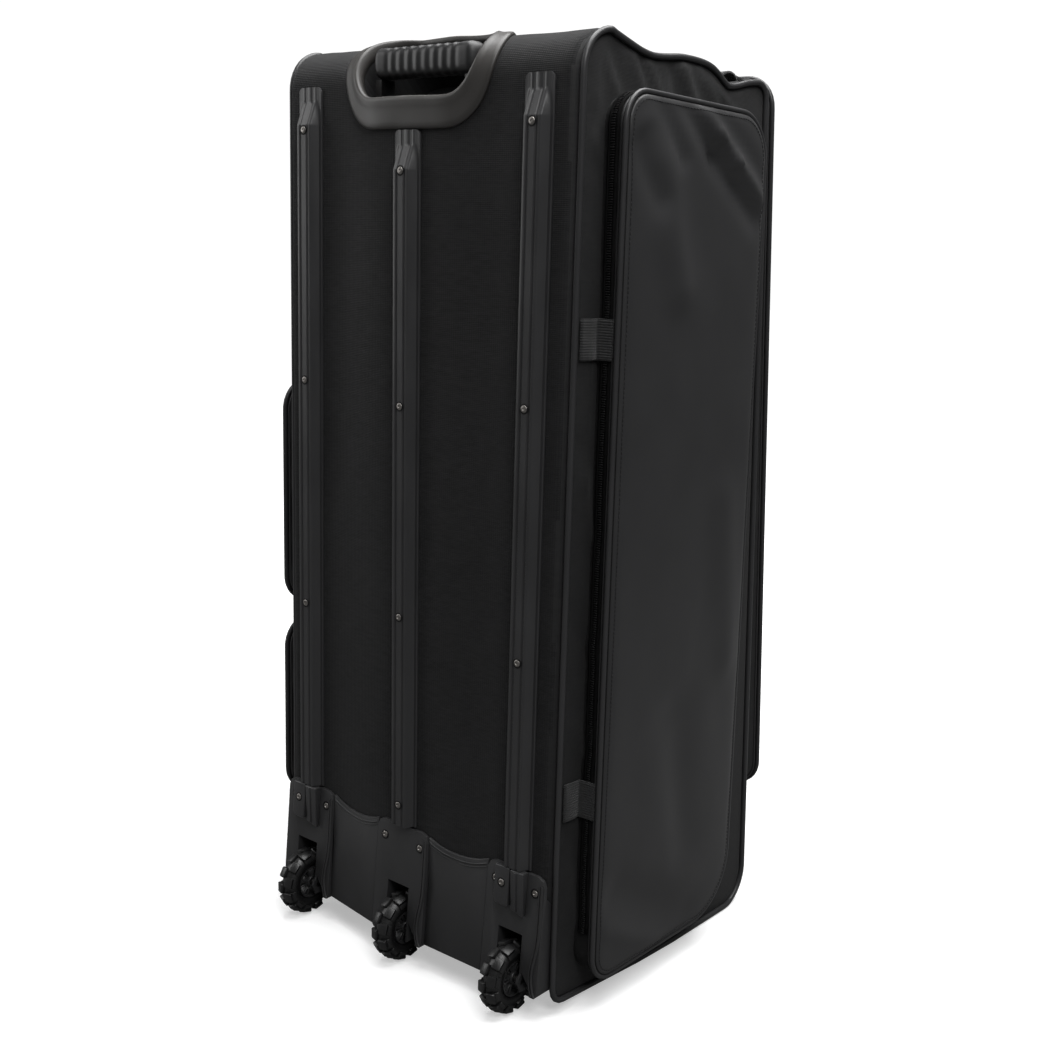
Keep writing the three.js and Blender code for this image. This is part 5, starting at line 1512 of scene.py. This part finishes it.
def make_wheels():
    for side in SIDES:
        hub = Vector((RAILS[side][0] + WHEEL_OFFSET, WHEEL_SETBACK, AXLE_HEIGHT))
        make_tyre(side, hub)
        make_rim(side, hub)


def make_collar():
    surface = make_surface()
    slope = math.sqrt(0.5)
    outer, inner = (loop_of([resample(s, n) for s, n in zip(rounded_loop(-half, low, half, high, radius),
                                                            COLLAR_COUNTS)])
                    for half, low, high, radius in (COLLAR, WELL))
    ray = Vector((0, slope, -slope))
    rows = []
    for share, lift in COLLAR_SECTION:
        row = []
        for a, b in zip(inner, outer):
            p = a.lerp(b, share)
            start = Vector((p.x, slope * p.y, slope * p.y)) - ray * 1200
            hit, normal, _, _ = surface["tree"].ray_cast(start, ray)
            if hit is None:
                hit, normal = Vector((p.x, 0, p.y / slope)), -ray
            if normal.dot(ray) > 0:
                normal = -normal
            direction = (normal * 0.6 - ray * 0.4).normalized() if lift > 0 else -ray
            row.append(hit + direction * lift)
        rows.append(row)
    for _ in range(3):
        for row in rows:
            row[:] = [(row[i - 1] + row[i] * 2 + row[(i + 1) % len(row)]) / 4 for i in range(len(row))]
    skin = Skin()
    skin.grid(rows, across=True)
    piece("handle_ring", thickened(skin.mesh("collar"), 1.5), materials()["collar"],
          replaces=["handle_collar"])


def make_grip():
    half, depth, bottom, top = GRIP
    ridge_depth, ridge_pitch = GRIP_RIDGE
    middle = (bottom + top) / 2
    rows = []
    count = 96
    for k in range(count + 1):
        t = k / count
        x = lerp(-half, half, t)
        end = min(t, 1 - t) * 2 * half
        squeeze = max(math.sqrt(clamp(1 - (1 - clamp(end / GRIP_END)) ** 2)), 0.02)
        ridge = ridge_depth * (0.5 + 0.5 * math.cos(2 * math.pi * x / ridge_pitch)) * smooth(end, 14, 24)
        row = []
        for a in range(28):
            c, s = math.cos(2 * math.pi * a / 28), math.sin(2 * math.pi * a / 28)
            y = POST_Y + depth / 2 * squeeze * math.copysign(abs(c) ** GRIP_SQUARE, c)
            z = middle + (top - bottom) / 2 * squeeze * math.copysign(abs(s) ** GRIP_SQUARE, s)
            row.append(Vector((x, y - ridge * c, z - ridge * s)))
        rows.append(row)
    skin = Skin()
    skin.grid(rows, across=True)
    skin.fan(rows[0])
    skin.fan(rows[-1])
    piece("grip_bar", skin.mesh("grip"), materials()["grip"], "handle", ["handle_grip"], angle=60)


def paint_trolley():
    m = materials()
    repaint({"handle_cup": m["cup"], "handle_post_left": m["post"], "handle_post_right": m["post"],
             "handle_guide_left": m["post"], "handle_guide_right": m["post"]})


def make_bands():
    """Two bands from the back seam across the panel and up the side of the right pocket."""
    right = POCKETS["right"]
    face = HALF_WIDTH + SIDE_BULGE + right["rise"] - POCKET_PIPE * 2 - 2
    path = [(lerp(SEAM_SETBACK + 5, right["low"] - 4, k / 6), 0) for k in range(7)]
    path += [(right["low"] - 3.2, 0.3), (right["low"] - 2.6, 0.65), (right["low"] - 2.6, 1)]
    for tag, centre in BANDS.items():
        heights = [lerp(centre - BAND_WIDTH / 2, centre + BAND_WIDTH / 2, k / 16) for k in range(17)]
        rows = []
        for u, climb in path:
            foot = [side_x(1, min(u, right["low"] - 3), z) + 0.9 for z in heights]
            rows.append([Vector((lerp(x, face, climb), u, z)) for x, z in zip(foot, heights)])
        skin = Skin()
        skin.grid(rows)
        piece(f"band_{tag}", thickened(skin.mesh("band"), -1.5), materials()["webbing"],
              replaces=[f"side_webbing_{tag}"])


def make_tab():
    """Arched webbing tab on the top, over its engineered place."""
    (x0, y0), (x1, y1) = ((corner[0] / MM - SHIFT_X, corner[1] / MM - SHIFT_Y)
                          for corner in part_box("top_webbing"))
    rows = []
    for k in range(13):
        y, arch = lerp(y0, y1, k / 12), TAB_ARCH * math.sin(math.pi * k / 12) ** 0.6
        across = [lerp(x0, x1, j / 6) for j in range(7)]
        rows.append([Vector((x, y, on_body(2, 1, x, y)[0].z + 2.2 + arch)) for x in across])
    skin = Skin()
    skin.grid(rows)
    piece("top_tab", thickened(skin.mesh("tab"), 2.2), materials()["webbing"], replaces=["top_webbing"])


# Stage

# Fitted camera: pixels of a 1038-pixel square, measured place, turn, pitch and roll in degrees
PHOTO = 1038
FOCUS = 1380.9
EYE = (939, -947, 745)
TURN = (40.29, 11.71, 1.55)
SENSOR = 36


def make_camera():
    yaw, pitch, roll = (math.radians(a) for a in TURN)
    forward = Vector((-math.sin(yaw) * math.cos(pitch), math.cos(yaw) * math.cos(pitch), -math.sin(pitch)))
    right = Vector((math.cos(yaw), math.sin(yaw), 0))
    up = right.cross(forward)
    across = math.cos(roll) * right + math.sin(roll) * up
    upward = -math.sin(roll) * right + math.cos(roll) * up
    data = bpy.data.cameras.new("camera")
    data.sensor_width = SENSOR
    data.lens = SENSOR * FOCUS / PHOTO
    data.clip_start, data.clip_end = 0.05, 50
    camera = bpy.data.objects.new("camera", data)
    rotation = Matrix((across, upward, -forward)).transposed().to_4x4()
    place = Vector(((EYE[0] + SHIFT_X) * MM, (EYE[1] + SHIFT_Y) * MM, EYE[2] * MM))
    camera.matrix_world = Matrix.Translation(place) @ rotation
    bpy.context.scene.collection.objects.link(camera)
    bpy.context.scene.camera = camera


def add_light(name, place, target, size, energy, color=(1, 1, 1)):
    data = bpy.data.lights.new(name, "AREA")
    data.shape = "RECTANGLE"
    data.size, data.size_y = size
    data.energy = energy
    data.color = color
    obj = bpy.data.objects.new(name, data)
    obj.location = place
    obj.rotation_euler = (Vector(target) - Vector(place)).to_track_quat("-Z", "Y").to_euler()
    bpy.context.scene.collection.objects.link(obj)


def make_stage():
    scene = bpy.context.scene
    scene.view_settings.view_transform = "Standard"
    scene.view_settings.look = "None"
    world = bpy.data.worlds.new("studio")
    scene.world = world
    world.use_nodes = True
    nodes, links = world.node_tree.nodes, world.node_tree.links
    nodes["Background"].inputs["Color"].default_value = (1, 1, 1, 1)
    nodes["Background"].inputs["Strength"].default_value = 0.13
    seen = nodes.new("ShaderNodeBackground")
    seen.inputs["Color"].default_value = (1, 1, 1, 1)
    seen.inputs["Strength"].default_value = 1.05
    mix = nodes.new("ShaderNodeMixShader")
    links.new(nodes.new("ShaderNodeLightPath").outputs["Is Camera Ray"], mix.inputs["Fac"])
    links.new(nodes["Background"].outputs["Background"], mix.inputs[1])
    links.new(seen.outputs["Background"], mix.inputs[2])
    links.new(mix.outputs[0], nodes["World Output"].inputs["Surface"])
    bm = bmesh.new()
    bmesh.ops.create_grid(bm, x_segments=2, y_segments=2, size=12)
    data = bpy.data.meshes.new("floor")
    bm.to_mesh(data)
    bm.free()
    floor = bpy.data.objects.new("floor", data)
    scene.collection.objects.link(floor)
    paint = Paint("floor_white", (0.72, 0.72, 0.72), 0.9, specular=0.1)
    place, _ = paint.coordinates()
    seen_ray = paint.node("ShaderNodeLightPath").outputs["Is Camera Ray"]
    paint.tint(seen_ray, 0.22, 1.0)
    distance = paint.node("ShaderNodeVectorMath", in0=place)
    distance.operation = "LENGTH"
    far = paint.node("ShaderNodeMapRange", Value=distance.outputs["Value"], From_Min=0.45, From_Max=2.2,
                     To_Min=0.42, To_Max=1.05)
    glow = paint.math("MULTIPLY", seen_ray, far.outputs[0])
    paint.shader.inputs["Emission Color"].default_value = (1, 1, 1, 1)
    paint.links.new(glow, paint.shader.inputs["Emission Strength"])
    data.materials.append(paint.material)
    add_light("key", (2.2, -1.5, 2.8), (0, 0, 0.8), (1.1, 1.3), 46)
    add_light("left", (-2.4, -1.4, 1.5), (0, 0, 0.5), (1.2, 2.4), 24)
    add_light("top", (0.2, 0.2, 2.6), (0, 0, 0.5), (2.2, 2.2), 115)


# Add-on

class KitBagSettings(bpy.types.PropertyGroup):
    grid_step: FloatProperty(name="Grid step", description="Size of a cloth panel's faces", default=0.006,
                             min=0.003, max=0.03, unit="LENGTH")
    wrinkle: FloatProperty(name="Wrinkles", description="Height of the cloth's soft unevenness",
                           default=0.0012, min=0, max=0.006, unit="LENGTH")
    tooth_pitch: FloatProperty(name="Tooth pitch", description="Spacing of the zip teeth", default=0.0022,
                               min=0.001, max=0.01, unit="LENGTH")
    tread_blocks: IntProperty(name="Tread blocks", description="Blocks in one row of a tyre", default=12,
                              min=6, max=30)
    cloth_color: FloatVectorProperty(name="Cloth colour", default=(0.0135, 0.0135, 0.014), size=3, min=0,
                                     max=1, subtype="COLOR",
                                     description="Base colour that the dark pieces share")


class KitBagOperator:
    """Shared behaviour: runs one group's steps in turn."""
    bl_options = {"REGISTER", "UNDO"}

    def execute(self, context):
        for step in self.steps:
            step()
        return {"FINISHED"}


class KITBAG_OT_camera(KitBagOperator, bpy.types.Operator):
    """Adds the fitted camera"""
    bl_idname = "kitbag.camera"
    bl_label = "Camera"
    steps = (make_camera,)


class KITBAG_OT_body(KitBagOperator, bpy.types.Operator):
    """Builds the cloth body and its two seam beads"""
    bl_idname = "kitbag.body"
    bl_label = "Body"
    steps = (make_body, make_seam_piping)


class KITBAG_OT_lid(KitBagOperator, bpy.types.Operator):
    """Builds the front lid and the main zip"""
    bl_idname = "kitbag.lid"
    bl_label = "Lid and main zip"
    steps = (make_lid,)


class KITBAG_OT_pockets(KitBagOperator, bpy.types.Operator):
    """Builds the pockets with their beads, zips, sliders and stitches"""
    bl_idname = "kitbag.pockets"
    bl_label = "Pockets"
    steps = (make_pockets,)


class KITBAG_OT_rails(KitBagOperator, bpy.types.Operator):
    """Builds the skid rails and the rivets"""
    bl_idname = "kitbag.rails"
    bl_label = "Rails and rivets"
    steps = (make_rails, make_rivets)


class KITBAG_OT_base(KitBagOperator, bpy.types.Operator):
    """Builds the wheel housings, kick panels, rail clips and raised lips"""
    bl_idname = "kitbag.base"
    bl_label = "Housings and kick panels"
    steps = (make_base,)


class KITBAG_OT_wheels(KitBagOperator, bpy.types.Operator):
    """Builds the tyres and rims"""
    bl_idname = "kitbag.wheels"
    bl_label = "Wheels"
    steps = (make_wheels,)


class KITBAG_OT_handle(KitBagOperator, bpy.types.Operator):
    """Builds the handle's collar and grip"""
    bl_idname = "kitbag.handle"
    bl_label = "Handle"
    steps = (make_collar, make_grip, paint_trolley)


class KITBAG_OT_webbing(KitBagOperator, bpy.types.Operator):
    """Builds the webbing bands and the top tab"""
    bl_idname = "kitbag.webbing"
    bl_label = "Webbing"
    steps = (make_bands, make_tab)


class KITBAG_OT_stage(KitBagOperator, bpy.types.Operator):
    """Adds the floor and the studio light"""
    bl_idname = "kitbag.stage"
    bl_label = "Stage"
    steps = (make_stage,)


OPERATORS = (KITBAG_OT_camera, KITBAG_OT_body, KITBAG_OT_lid, KITBAG_OT_pockets, KITBAG_OT_rails,
             KITBAG_OT_base, KITBAG_OT_wheels, KITBAG_OT_handle, KITBAG_OT_webbing, KITBAG_OT_stage)


class KITBAG_PT_panel(bpy.types.Panel):
    bl_label = "Kit bag"
    bl_idname = "KITBAG_PT_panel"
    bl_space_type = "VIEW_3D"
    bl_region_type = "UI"
    bl_category = "Kit bag"

    def draw(self, context):
        settings = context.scene.kit_bag
        for name in ("grid_step", "wrinkle", "tooth_pitch", "tread_blocks", "cloth_color"):
            self.layout.prop(settings, name)
        for operator in OPERATORS:
            self.layout.operator(operator.bl_idname)


CLASSES = (KitBagSettings, *OPERATORS, KITBAG_PT_panel)


def register():
    for cls in CLASSES:
        bpy.utils.register_class(cls)
    bpy.types.Scene.kit_bag = PointerProperty(type=KitBagSettings)


def unregister():
    del bpy.types.Scene.kit_bag
    for cls in reversed(CLASSES):
        bpy.utils.unregister_class(cls)


def main():
    register()
    for operator in OPERATORS:
        group, name = operator.bl_idname.split(".")
        getattr(getattr(bpy.ops, group), name)()


if __name__ == "__main__":
    main()
